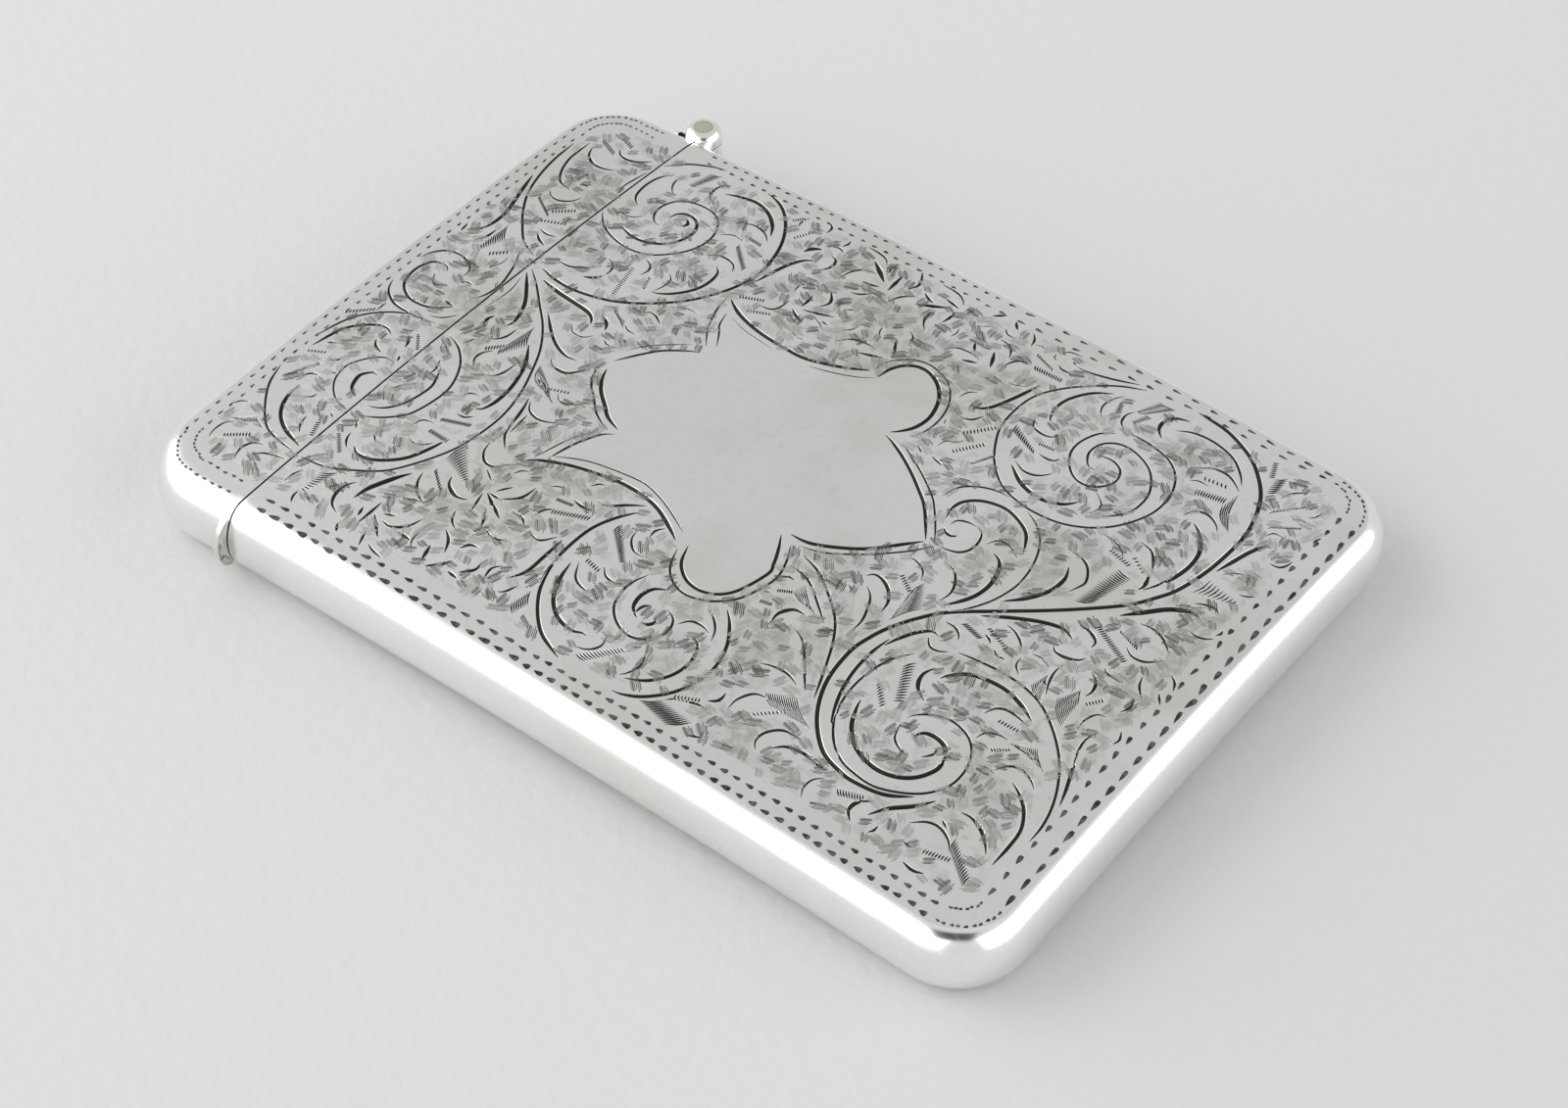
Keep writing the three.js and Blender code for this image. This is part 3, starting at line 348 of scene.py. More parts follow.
bottom_cuts = read_cuts("""
26: -4.4 -10.4, -5.5 -12, -6.3 -14, -6.5 -16.5, -6.3 -18.7, -5.5 -21, -4.2 -22.9, -2.6 -24.4, -0.9 -25.2,
0.2 -25.6; 13: -6.4 -18.2, -6.2 -19.7, -5.7 -21; 30: -5.3 -17.6, -4.9 -19.5, -4 -21.3, -2.6 -22.5, -1 -22.9,
0 -22.6, 0.4 -22.8; 26: 6.9 -14.2, 8 -15.3, 9.1 -17, 9.7 -19, 9.6 -21, 8.8 -23, 7.4 -24.6, 6 -25.4, 5 -25.6;
20: 5.6 -15, 6.6 -15.5, 7.5 -16.4, 8 -17.6; 26: 6.6 -17.9, 7.5 -18.5, 8 -20, 7.7 -21.8, 6.6 -23.3, 5 -24.2;
20: 4.9 -17.8, 5.5 -16.9, 6.5 -16.7, 7.5 -17; 20: 0.2 -15.1, -0.3 -16.3, -0.4 -17.5, 0 -19, 1 -20.1, 2.3
-20.7, 3.5 -20.6, 4.5 -19.7, 4.8 -18.6, 4.4 -17.5, 3.3 -16.9; 32: 2.4 -15.4, 1.4 -16, 1 -17, 1.2 -18.2, 1.9
-18.9, 2.3 -18.9; 32: 2.6 -19.2, 3.2 -19.1, 3.5 -18.6, 3.3 -18.2; 26: 1.7 -18.8, 1.8 -17.9, 2.3 -17.4; 20:
-3.4 -12, -3.2 -13, -2.3 -13.9, -1.2 -14; 20: -1.8 -10.6, -2.3 -11.3, -2.2 -12.2; 20: -3.1 -16.4, -2.3
-17.2, -1.2 -17.3, -0.7 -16.9; 20: -4.9 -17.2, -4 -18.7, -2.8 -19.2, -1.8 -19.1; 20: 1.5 -21.7, 1.8 -22.7,
1.3 -23.6, 0.2 -24; 20: 2.3 -20.9, 2.2 -21.9; 18: 4.3 -21, 3.6 -21.6; 20: 4.8 -21.2, 5.3 -22.4, 5 -23.6, 4.5
-24.2; 28: -7.3 -16.2, -7.3 -18.5, -7.4 -20.5, -8.2 -22; 20: -9.1 -21, -9.7 -21.8, -9.4 -23.2; 20: -7.9
-23.3, -7.4 -23, -6.9 -21.8; 26: -10.7 -21.7, -10.6 -22.6, -11.5 -23.6; 26: -13 -21.7, -12.6 -20.9, -11.8
-20.7; 32: -12.5 -22.9, -13.2 -23.9, -14 -24.6; 26: -12.3 -23.9, -11 -24.1; 20: -10.7 -15.8, -10.4 -14.7,
-9.6 -14.1; 20: -10 -17.1, -8.7 -17.4, -7.7 -16.2; 26: -12.4 -13.2, -12.7 -14.8, -13.9 -15.9; 26: -14 -16.5,
-13.3 -17, -12.6 -17.5; 26: -12.4 -16.3, -11.2 -16.4, -10.6 -16.9; 20: -12.7 -18.9, -11.7 -19.3, -10.3
-18.8; 26: -14 -17.5, -13.2 -18.6, -13 -19.5; 13: -11.8 -12.6, -11.1 -12.1, -10.3 -12; 16: -9.3 -10.7, -8.8
-10, -8.2 -9.8; 26: -7.8 -11.6, -6.8 -11.4, -5.6 -10.4, -4.4 -9.6; 26: -9.4 -12.5, -8.3 -12.7, -7.3 -12.5;
32: 12 -11.1, 10.9 -11.2, 10.2 -12.2, 10.3 -13.4; 32: 8 -11, 8.4 -11; 26: 8.7 -24, 9.5 -23.3, 11 -22.8, 12
-22.9; 26: 11.9 -20.6, 11.9 -21.6, 11.2 -22.2;
""")
shading_cuts = read_shading("""
5: 29.6 19, 29.9 20.8, 30.9 16.9, 31.7 16.4; 6: 26.9 20.8, 28.6 21.1, 27.2 20.2, 28.9 20.5;
12: 27.2 19.2, 29.5 19.9, 27.5 18.3, 29.6 18.9; 12: 12.4 16, 15 14.4, 12.8 14.7, 15.3 13.8;
7: 15 15.4, 16.2 15.5, 15.1 14.9, 16.3 15.1; 6: 17 23.4, 17.3 22.3, 17.7 23.3, 18 22.4;
14: 18.6 23.4, 19.3 25.5, 19.5 23.6, 21.2 25.6; 7: 19 22.2, 19.4 23.5, 19.6 22.2, 20.2 23.4;
9: 12 9.7, 12.8 11.5, 12.5 10.2, 13.3 11.7; 8: 30 25.6, 30.6 24, 30.5 25.9, 31.1 24.4;
8: 31.1 24, 31.4 22.3, 32 24.9, 32.2 23.2; 10: 32.8 20.4, 34.3 22.5, 33 21.3, 34.6 23.2;
11: 33.6 19, 35.4 20.4, 33.9 19.7, 35.6 21; 9: 32.9 9.2, 35.7 10.2, 33.3 11.6, 36 10.9;
9: 8.9 24, 10.7 23.3, 9.1 23.5, 10.9 22.9; 12: 9.5 22.7, 12 22.8, 9.9 22, 12.2 22.1;
10: 9.6 12.6, 11.1 14.6, 10 12, 11.6 14.2; 10: 10.1 10.3, 11.5 12.4, 10.6 9.9, 12 12;
9: -13.9 14.3, -12.1 15.1, -13.6 13.8, -11.9 14.6; 8: -12.3 13.3, -10.7 14, -12.1 12.8, -10.5 13.6;
6: -34.6 25.1, -33.4 24.6, -34.6 24.4, -33.4 23.9; 12: -35.9 23.8, -34.1 22.9, -35.7 23.1, -34 22.3;
10: -35.1 14.2, -33 12.8, -34.8 13.6, -32.8 12.3; 8: -33 13.4, -31.6 14.6, -32.7 12.9, -31.3 14.1;
8: -32.9 11.9, -31 12.7, -32.7 11.4, -30.9 12.2; 11: -34.7 9.6, -34.8 6.3, -33.4 7.6, -34.2 5.7;
6: -33.5 6, -32.5 7, -33.2 5.4, -32.2 6.4; 9: -37.9 -6.5, -36.3 -5, -37.8 -7.1, -36.2 -5.6;
9: -31.5 -5.6, -30.4 -7, -31.1 -5.4, -30.1 -6.7; 14: -37 -15.6, -35.8 -12.6, -36.2 -14.2, -35.1 -12.9;
6: -37.2 -11.9, -36 -11.3, -37.1 -12.3, -35.9 -11.7; 14: -36.9 -21.4, -35.5 -20.1, -36.4 -21.2, -33.8 -20.9;
9: -36.1 -22.9, -34.5 -21.7, -35.8 -23.3, -34.2 -22.2; 7: -31.1 -18, -30.6 -19.3, -30.6 -17.7, -30.1 -19;
12: -26.4 23.2, -26 25.4, -25.5 23.3, -24.7 25.8; 8: -18.3 20.9, -16.7 20.7, -18 20.3, -16.5 20.1;
13: -17.9 19.4, -15.7 17.4, -17.8 18.6, -15.8 16.7; 16: -23.2 11.5, -22.4 8, -22.5 11.4, -21.7 8;
8: -21.3 11.4, -20.8 10, -20.7 11.3, -20.3 10; 6: -16.7 25, -16.1 25.8, -16.3 24.7, -15.7 25.5;
8: -15.2 23.2, -14.4 24.9, -14.8 22.9, -14 24.6; 14: -21.6 6.4, -19.3 6, -20.6 6.9, -18.5 4.8;
12: -24.5 .9, -24.9 -2.6, -23.3 -1.6, -24.6 -3.6; 7: -26 -3.2, -25 -2.2, -25.7 -3.8, -24.8 -2.8;
16: -21.1 -2.3, -19 -3.8, -20 -4.4, -17.3 -5.4; 7: -18.9 -4, -17.3 -3.4, -18.8 -4.4, -17.2 -3.8;
13: -23.2 -11.6, -21 -10.8, -23.2 -12.2, -21 -11.4; 11: -23.1 -13.1, -21.3 -13.2, -23.1 -13.7, -21.3 -13.8;
10: -28.9 -18, -27.5 -19.5, -28.5 -17.7, -27.2 -19.1; 9: -27.1 -22, -27.1 -23.9, -25.7 -21, -26.4 -24;
13: -19.6 -12.7, -17.2 -15.6, -20 -15.3, -17.5 -16.1; 8: -19.9 -16.2, -18.3 -17.5, -19.7 -16.8, -18.2 -18;
8: -10.3 -13, -9 -12.8, -10.3 -13.5, -9 -13.3; 13: -9.8 -14.1, -7.1 -13, -9.7 -14.8, -7.1 -13.7;
18: -4.6 -12.2, -2.1 -15, -4.8 -13.4, -2.4 -15.6; 6: -4.4 -16.5, -3.1 -16.8, -4.4 -17.1, -3.1 -17.4;
8: -5.9 -21.6, -6.3 -23.3, -5 -23.1, -5.3 -24.4; 8: -4.7 -23.8, -3.8 -24.3, -4.6 -24.4, -3.7 -24.8;
14: .6 -24.4, 3 -22, 2 -24.6, 3.7 -22.2; 7: 8.7 -10.2, 9.6 -9.7, 8.9 -10.6, 9.8 -10.1;
6: 8.4 -11.8, 9.2 -11.6, 8.5 -12.3, 9.3 -12.1; 8: 9.1 -23, 10.7 -22.2, 9.3 -23.5, 10.9 -22.7;
14: 7.2 -25.2, 10 -25.8, 8.8 -24, 11.7 -24.3; 6: 9.9 -8.6, 9.5 -9.6, 13.6 -11.1, 11.9 -10.4;
13: 17 -2.8, 18.4 -5, 16.7 -5, 17 -7.8; 7: 15.3 -3.1, 16.6 -4, 15.1 -3.7, 16.4 -4.6;
9: 31 2.7, 32.8 2.1, 31.2 2.3, 33 1.7; 17: 29.3 1.5, 32.6 -.1, 29.7 2.1, 33 .5;
9: 21.4 -4.6, 23 -5, 21.9 -4.1, 23.5 -4.5; 9: 23.2 -3.8, 25.2 -4.6, 23.5 -3.4, 25.5 -4.1;
10: 29.2 -4.4, 28.7 -5.9, 29.9 -5.7, 30.5 -7.1; 14: 31.9 -4, 31 -5.8, 32.7 -5.5, 33 -8.1;
6: 32.9 -4.8, 33.6 -3.8, 33.3 -5.2, 34 -4.2; 8: 25.7 8.7, 27.5 8.3, 25.9 9.3, 27.8 8.9;
5: 27.5 9.3, 28.8 8.5, 27.8 9.7, 29 8.9; 20: 27.1 7.8, 26.5 2.8, 28.9 7.4, 28 3.8;
15: 14 -18.7, 16 -17.7, 15.6 -19.8, 19 -19.7; 9: 14.5 -20.9, 16.2 -19.3, 15 -21.1, 16.6 -19.6;
14: 21.2 -9.7, 22.7 -13.2, 20.5 -10.9, 21.9 -13.8; 8: 20.3 -12.8, 21.7 -14.3, 20.1 -13.5, 21.4 -14.9;
7: 29.1 -10.2, 30.6 -10.1, 29.1 -10.7, 30.6 -10.6; 7: 30 -12.8, 31 -12, 30.4 -13.1, 31.3 -12.3;
14: 30.8 -11.6, 32.5 -10.6, 31.8 -11.5, 34.4 -12.4; 14: 32.8 -20.9, 35.5 -23, 33.2 -22.4, 35.5 -24.3;
9: 31.7 -23.1, 33.5 -22.6, 31.7 -23.7, 33.5 -23.2; 10: 23.5 -22.6, 25.3 -21.9, 24.2 -23.3, 25.8 -22.6;
""")
leaf_cuts = (lower_left_cuts + lid_cuts + upper_left_cuts + spray_cuts + upper_right_cuts
             + lower_right_cuts + bottom_cuts)
all_cuts = cartouche_cuts + leaf_cuts + shading_cuts


CARTOUCHE = [(-15.2, -11.6), (-9.8, -9.25), (-5.65, -8.9), (-0.35, -11.2), (1, -14.2), (3.3, -15.2),
             (6.5, -13.6), (8, -10), (7, -6.2), (10.8, -4.1), (15.3, 0.8), (10, 6.4), (7, 8.9),
             (7.4, 12.3), (5.4, 16.3), (2.6, 17.2), (0.3, 15.3), (0, 13.6), (-5, 11.3), (-9.8, 11.5),
             (-14.5, 13.8), (-13.5, 9.5), (-12, 7.2), (-16, 4.4), (-17.6, 0.8), (-15.3, -2.8),
             (-12, -5.2), (-14, -8.2)]
SCROLL_BANDS = read_cuts("""
130: 20.4 20.1, 22.5 19.7, 24.3 18.3, 25.3 15.8, 25.2 13.5, 24 11.3, 22 10, 19.5 9.4, 17 9.7, 14.5 11.3,
12.8 13.7, 12.3 17, 13 20.5, 15 23.4, 18 25.3; 110: 20.2 16.2, 18.2 16.2, 18 18, 19.3 19.8, 21 20;
150: 23 26, 28 24.3, 30.3 21.8, 31.9 18, 32.1 14.5, 31.7 10.5, 30.3 7.3, 28.5 4.6, 26 2, 23 -.7, 21 -2.8,
19.5 -4.8, 18.2 -7.5, 17.4 -10.5, 17.3 -14, 18.3 -17, 20 -19.5, 22.5 -21, 25.5 -21.2, 28 -20, 29.5 -17.6;
130: 29.3 -17.5, 28.9 -14.8, 27 -13.4, 25 -13.8, 24.3 -15; 130: 18.5 -9, 18.3 -12, 18.5 -15.5, 20.3 -18.4,
22.8 -20.2, 25.8 -20.2, 28 -18.8, 28.8 -16.5; 110: 22.5 -6.3, 26 -6.9, 29.5 -7.2, 32.2 -8.9, 34.4 -11.5,
35.9 -15, 36.4 -18.5, 36.2 -21.5; 120: 13.5 4.5, 14.3 7.3, 17 8, 19.6 7.3, 21.4 5, 22 2, 21.3 -1, 20 -3.5;
110: 20.2 1.5, 20.6 -.6, 19.6 -3.5; 150: 22.8 -2.2, 26 .3, 29 3.2; 120: -4.7 -11.5, -5.8 -14.5, -5.8 -18,
-4.6 -21.5, -2.2 -23.8, .3 -24.5; 120: 6.6 -14.6, 8.6 -17.3, 8.9 -20.5, 7.7 -23.3, 5 -24.9;
120: .5 -15.2, .3 -17.6, 1.2 -19.5, 3 -20, 4.2 -19; 130: -21.5 6.4, -25 5.7, -28.6 6; 120: -28.8 24.3,
-29.5 21, -29.2 17, -27.5 14.3, -24.5 13.8, -21.8 15.4, -21 18, -22.2 20.3, -24.4 20.6, -25.4 19.3;
130: -20.5 25.8, -17.5 24.2, -15.8 21.5, -15.2 18, -16 14.5, -18 11.3, -21 8.5, -24.5 7.2, -28 7.6;
130: -28.9 6, -26 3, -23.6 .5, -21.8 -3, -20.7 -7, -20.4 -10.5, -20.9 -14, -22.3 -17.2, -24.5 -19.3,
-27 -20.3, -30 -20.9, -33 -20.3, -35.6 -18, -37 -14.8; 120: -29.5 -3.8, -27 -5.8, -25.8 -9, -26.1 -12,
-27.8 -14.4, -30.2 -14.9, -32.2 -13.7, -32.8 -11.7, -31.8 -9.9; 120: -31 -3.4, -34.5 -4, -36.8 -6.5,
-37.7 -9.5; 130: -30.3 7.5, -33.3 9.5, -35.5 12.5, -36.8 16.5, -37 20.5; 120: -37.2 0, -36.5 2.8, -34.8 3.2,
-34 2; 110: -31 5, -30.6 1.5; 100: -37 -1, -35.8 -3, -33 -3.2, -31 -2.4;
""")


def inside_outline(x, y, outline):
    """Whether (x, y) lies inside a closed outline."""
    inside = False
    for (ax, ay), (bx, by) in zip(outline, outline[1:] + outline[:1]):
        if (ay > y) != (by > y) and x < (bx - ax) * (y - ay) / (by - ay) + ax:
            inside = not inside
    return inside


LEAF_LONGEST = 7
LEAF_SWELL = 0.55
PETAL_STRAIGHT = 0.3
PETAL_HALF = 0.5
CLEAR_MARGIN = 0.15
clear_leaves = []
for width, line in leaf_cuts:
    length = np.hypot(*np.diff(line, axis=0).T).sum()
    if length < LEAF_LONGEST:
        chord = line[-1] - line[0]
        aside = np.array([-chord[1], chord[0]]) / max(0.1, np.hypot(*chord))
        bow = (line[len(line) // 2] - (line[0] + line[-1]) / 2) @ aside
        swell = -LEAF_SWELL * math.copysign(1, bow)
        near_side = [line[0] + chord * t + aside * swell * math.sin(math.pi * t) for t in (0.8, 0.5, 0.2)]
        leaf = list(line)
        if abs(bow) < PETAL_STRAIGHT:
            leaf = [line[0], line[0] + chord * 0.5 - aside * math.copysign(PETAL_HALF, swell), line[-1]]
        clear_leaves.append([tuple(p) for p in leaf + near_side])
clear_lines = kdtree.KDTree(sum(len(line) for _, line in SCROLL_BANDS + shading_cuts + leaf_cuts))
clear_reach = []
for lines, least in ((SCROLL_BANDS, 0.22), (shading_cuts, 0.3), (leaf_cuts, 0.1)):
    for width, line in lines:
        for p in line:
            clear_lines.insert((p[0], p[1], 0), len(clear_reach))
            clear_reach.append(max(width / 2, least))
clear_lines.balance()


def is_ground(x, y):
    """Whether the plate at (x, y) is the roughened ground and not a leaf, band or border."""
    if not -37.3 < x < 36.6 or not -25.3 < y < 25.6 or nearest_edge(x * 1.045, y * 1.07)[0] > 0:
        return False
    _, index, far = clear_lines.find((x, y, 0))
    if far < clear_reach[index] + CLEAR_MARGIN or inside_outline(x, y, CARTOUCHE):
        return False
    return not any(inside_outline(x, y, leaf) for leaf in clear_leaves
                   if abs(leaf[0][0] - x) + abs(leaf[0][1] - y) < 6)


def cut_runs(cuts, keeps):
    """The stretches of the cuts that lie on one shell, with their half widths."""
    runs = []
    for width, line in cuts:
        inside = [keeps(x, y) for x, y in line]
        start = None
        for i, here in enumerate(inside + [False]):
            if here and start is None:
                start = i
            if not here and start is not None:
                if i - start >= 3:
                    part = line[start:i]
                    run = np.concatenate([[0], np.cumsum(np.hypot(*np.diff(part, axis=0).T))])
                    taper = min(run[-1] / 2, CUT_TAPER)
                    half = np.minimum(run, run[-1] - run) / taper
                    half = width / 2 * CUT_WIDENING * np.clip(half, 0, 1) ** 0.6
                    runs.append((part, half))
                start = None
    return runs


def engraved_sheet(boundary, runs):
    """The flat layout of a plate: its triangles, and how deep each point is cut."""
    points = [Vector(p) for p in boundary]
    count = len(points)
    edges = [(i, (i + 1) % count) for i in range(count)]
    depth = {}
    centres = []
    for part, half in runs:
        ahead = np.gradient(part, axis=0)
        ahead /= np.hypot(*ahead.T)[:, None]
        across = np.column_stack([-ahead[:, 1], ahead[:, 0]])
        last = len(part) - 1
        first = len(points)
        points.append(Vector(part[0]))
        points.append(Vector(part[last]))
        rows = {-1: [first], 0: [first], 1: [first]}
        for i in range(1, last):
            for row in (-1, 0, 1):
                rows[row].append(len(points))
                points.append(Vector(part[i] + across[i] * half[i] * row))
            depth[len(points) - 2] = half[i] * CUT_DEPTH * 2
            centres.append((part[i], half[i]))
        for row in rows.values():
            row.append(first + 1)
            edges += list(zip(row[:-1], row[1:]))
    tree = kdtree.KDTree(max(1, len(centres)))
    for i, (centre, half) in enumerate(centres):
        tree.insert((centre[0], centre[1], 0), i)
    tree.balance()
    xs, ys = np.array(boundary).T
    odd = 0
    for y in np.arange(ys.min() + 0.3, ys.max() - 0.25, FILL_SPACING * 0.866):
        odd = 1 - odd
        for x in np.arange(xs.min() + 0.3 + odd * FILL_SPACING / 2, xs.max() - 0.25, FILL_SPACING):
            if nearest_edge(x, y)[0] > ENGRAVED_PAST_EDGE - 0.2:
                continue
            if not centres or tree.find((x, y, 0))[2] > 0.3:
                points.append(Vector((x, y)))
    flat, _, faces, origins, _, _ = geometry.delaunay_2d_cdt(points, edges, [], 0, 1e-5, True)
    cut = np.zeros(len(flat))
    for i, sources in enumerate(origins):
        deepest = max((depth.get(s, 0) for s in sources), default=-1)
        if deepest < 0:
            _, near, far = tree.find((flat[i][0], flat[i][1], 0)) if centres else (0, 0, 9)
            half = centres[near][1] if centres else 0
            deepest = max(0, half - far) * CUT_DEPTH
        cut[i] = deepest
    found = {source: i for i, sources in enumerate(origins) for source in sources}
    return flat, faces, cut, [found[i] for i in range(count)]


def make_shell(name, seam, towards, side, cuts):
    """One quarter of the case: an engraved plate, its rolled sides and the inside of the sheet."""
    edge = plate_edge(seam, towards)
    seam_steps = 70
    reach = ENGRAVED_PAST_EDGE
    last_y = edge[-1][1] + edge[-1][3] * reach
    seam_ys = np.linspace(last_y, -last_y, seam_steps)[1:-1]

    def keeps(x, y):
        return (x - seam) * towards > 0.1 and nearest_edge(x, y)[0] < reach - 0.12

    runs = cut_runs(cuts, keeps)
    mesh = bmesh.new()
    cut_layer = mesh.verts.layers.float.new("cut")
    ground_layer = mesh.verts.layers.float.new("ground")

    def sheet(wall, use_runs):
        spread = reach * (SIDE_BULGE - wall) / SIDE_BULGE
        rim = [(x + nx * spread, y + ny * spread) for x, y, nx, ny in edge]
        scale = rim[-1][1] / last_y
        closing = [(seam, y * scale) for y in seam_ys]
        flat, faces, cut, border = engraved_sheet(rim + closing, use_runs)
        made = []
        for (x, y), deep in zip(flat, cut):
            z = surface_height(x, y, side, wall) - side * deep
            made.append(mesh.verts.new(placed(x, y, z)))
            made[-1][cut_layer] = min(1.0, deep / DARK_FROM_DEPTH)
            made[-1][ground_layer] = 1.0 if use_runs and is_ground(x, y) else 0.0
        outward = side if wall == 0 else -side
        for face in faces:
            order = face if outward > 0 else face[::-1]
            mesh.faces.new([made[i] for i in order])
        rim_verts = [made[i] for i in border[:len(rim)]]
        seam_verts = [made[i] for i in border[len(rim):]]
        rows = [rim_verts]
        start = math.asin(reach / SIDE_BULGE)
        for k in range(1, SIDE_ROWS + 1):
            turn = start + (math.pi / 2 - start) * (1 - (1 - k / SIDE_ROWS) ** 1.5)
            row = []
            for x, y, nx, ny in edge:
                out = (SIDE_BULGE - wall) * math.sin(turn)
                z = middle_height(x, y) + side * (HALF_THICKNESS - wall) * math.cos(turn)
                row.append(mesh.verts.new(placed(x + nx * out, y + ny * out, z)))
            rows.append(row)
        for upper, lower in zip(rows[:-1], rows[1:]):
            for i in range(len(edge) - 1):
                quad = [upper[i], lower[i], lower[i + 1], upper[i + 1]]
                mesh.faces.new(quad if outward > 0 else quad[::-1]).material_index = 1
        first_side = [row[0] for row in rows[::-1]]
        last_side = [row[-1] for row in rows]
        return rows[-1], first_side[:-1] + [rows[0][0]] + seam_verts[::-1] + last_side

    outer_end, outer_seam = sheet(0.0, runs)
    inner_end, inner_seam = sheet(WALL, [])
    # The faces along the seam take the third material, near-black painted shade in the seam gap.
    for one, other, finish in ((outer_end, inner_end, 1), (outer_seam[::-1], inner_seam[::-1], 2)):
        for i in range(len(one) - 1):
            quad = [one[i], other[i], other[i + 1], one[i + 1]]
            mesh.faces.new(quad if side > 0 else quad[::-1]).material_index = finish
    bmesh.ops.remove_doubles(mesh, verts=mesh.verts, dist=1e-8)
    bmesh.ops.recalc_face_normals(mesh, faces=mesh.faces)
    for edge_line in mesh.edges:
        deep = max(v[cut_layer] for f in edge_line.link_faces for v in f.verts)
        corner = edge_line.calc_face_angle(0) > 0.6
        edge_line.smooth = not (deep > 0 or corner)
    data = bpy.data.meshes.new(name)
    mesh.to_mesh(data)
    mesh.free()
    data.polygons.foreach_set("use_smooth", [True] * len(data.polygons))
    piece = bpy.data.objects.new(name, data)
    bpy.context.collection.objects.link(piece)
    return piece


class Tone:
    """A shader socket that can be added, taken away and multiplied like a number."""

    def __init__(self, tree, socket):
        self.tree = tree
        self.socket = socket

    def made(self, kind, settings, inputs, output=0):
        node = self.tree.nodes.new(kind)
        for key, value in settings.items():
            setattr(node, key, value)
        for key, value in inputs.items():
            if isinstance(value, Tone):
                self.tree.links.new(value.socket, node.inputs[key])
            else:
                node.inputs[key].default_value = value
        return Tone(self.tree, node.outputs[output])

    def math(self, operation, *values):
        return self.made("ShaderNodeMath", {"operation": operation}, dict(enumerate(values)))

    def __add__(self, other):
        return self.math("ADD", self, other)

    def __mul__(self, other):
        return self.math("MULTIPLY", self, other)

    def __sub__(self, other):
        return self.math("SUBTRACT", self, other)

    def __rsub__(self, other):
        return self.math("SUBTRACT", other, self)

    __radd__ = __add__
    __rmul__ = __mul__

    def spread(self, low, high, to_low=0.0, to_high=1.0):
        settings = {"interpolation_type": "SMOOTHSTEP"}
        places = {"Value": self, "From Min": low, "From Max": high, "To Min": to_low, "To Max": to_high}
        return self.made("ShaderNodeMapRange", settings, places)

    def blend(self, first, second):
        inputs = {0: self, 6: first, 7: second}
        return self.made("ShaderNodeMix", {"data_type": "RGBA"}, inputs, 2)


def silver(name, bright, dull, polish, wear, grain, marks=0.0, groove_shade_tone=None, seam_shade=False):
    """Sterling silver: clear metal with cloudy tarnish, fine wiping scratches and small dents. Given a
    groove tone, the grooves are painted dark by depth and the ground is darkened, both painted shade; given
    seam shade, a near-black band of painted shade runs along the seam.
    """
    material = bpy.data.materials.new(name)
    material.use_nodes = True
    tree = material.node_tree
    shader = tree.nodes["Principled BSDF"]
    shader.inputs["Metallic"].default_value = 1.0
    base = Tone(tree, None)
    place = base.made("ShaderNodeTexCoord", {}, {}, "Object")
    cloud = base.made("ShaderNodeTexNoise", {}, {"Vector": place, "Scale": 90.0, "Detail": 5.0})
    fine = base.made("ShaderNodeTexNoise", {}, {"Vector": place, "Scale": 1500.0, "Detail": 3.0})
    turned = base.made("ShaderNodeMapping", {}, {"Vector": place, "Rotation": (0.0, 0.0, 0.6),
                                                 "Scale": (240.0, 5200.0, 900.0)})
    wiping = base.made("ShaderNodeTexNoise", {}, {"Vector": turned, "Scale": 1.0, "Detail": 2.0})
    crossed = base.made("ShaderNodeMapping", {}, {"Vector": place, "Rotation": (0.0, 0.0, -0.9),
                                                  "Scale": (200.0, 6100.0, 900.0)})
    rubbed = base.made("ShaderNodeTexNoise", {}, {"Vector": crossed, "Scale": 1.0, "Detail": 2.0})
    tarnish = cloud.spread(0.42, 0.72) * 0.7 + fine.spread(0.5, 0.8) * 0.3
    colour = (tarnish * wear).blend(bright, dull)
    rough = cloud.spread(0.35, 0.7, polish, polish + 0.08) + wiping.spread(0.58, 0.75) * 0.06
    if groove_shade_tone:
        cut = base.made("ShaderNodeAttribute", {"attribute_name": "cut"}, {}, "Fac")
        # The grooves are painted dark by their depth: painted shade in the cuts.
        dark = cut.spread(0.03, 0.3)
        ground = base.made("ShaderNodeAttribute", {"attribute_name": "ground"}, {}, "Fac")
        # Where the plate is ground it is darkened towards grey: painted shade of the roughened ground.
        painted_ground_shade = fine.spread(0.35, 0.7) * 0.16 + cloud.spread(0.35, 0.65) * 0.14
        colour = (ground.spread(0.3, 0.9) * painted_ground_shade).blend(colour, (0.16, 0.155, 0.15, 1))
        colour = dark.blend(colour, groove_shade_tone)
        rough = rough + dark * 0.25 + ground * 0.06
    if seam_shade:
        # A near-black band along the seam: painted shade in the gap between body and lid.
        from_seam = base.made("ShaderNodeSeparateXYZ", {}, {"Vector": place}) - SEAM_X / 1000
        aside = from_seam.math("ABSOLUTE", from_seam)
        colour = aside.spread(0.0002, 0.0004).blend((0.01, 0.009, 0.008, 1), colour)
    tree.links.new(colour.socket, shader.inputs["Base Color"])
    tree.links.new(rough.socket, shader.inputs["Roughness"])
    height = wiping.spread(0.55, 0.8) * 0.5 + rubbed.spread(0.6, 0.8) * 0.5 + fine * grain
    if marks:
        height = height + cloud * marks
    bump = base.made("ShaderNodeBump", {}, {"Strength": 0.25, "Distance": 0.000012, "Height": height})
    tree.links.new(bump.socket, shader.inputs["Normal"])
    return material
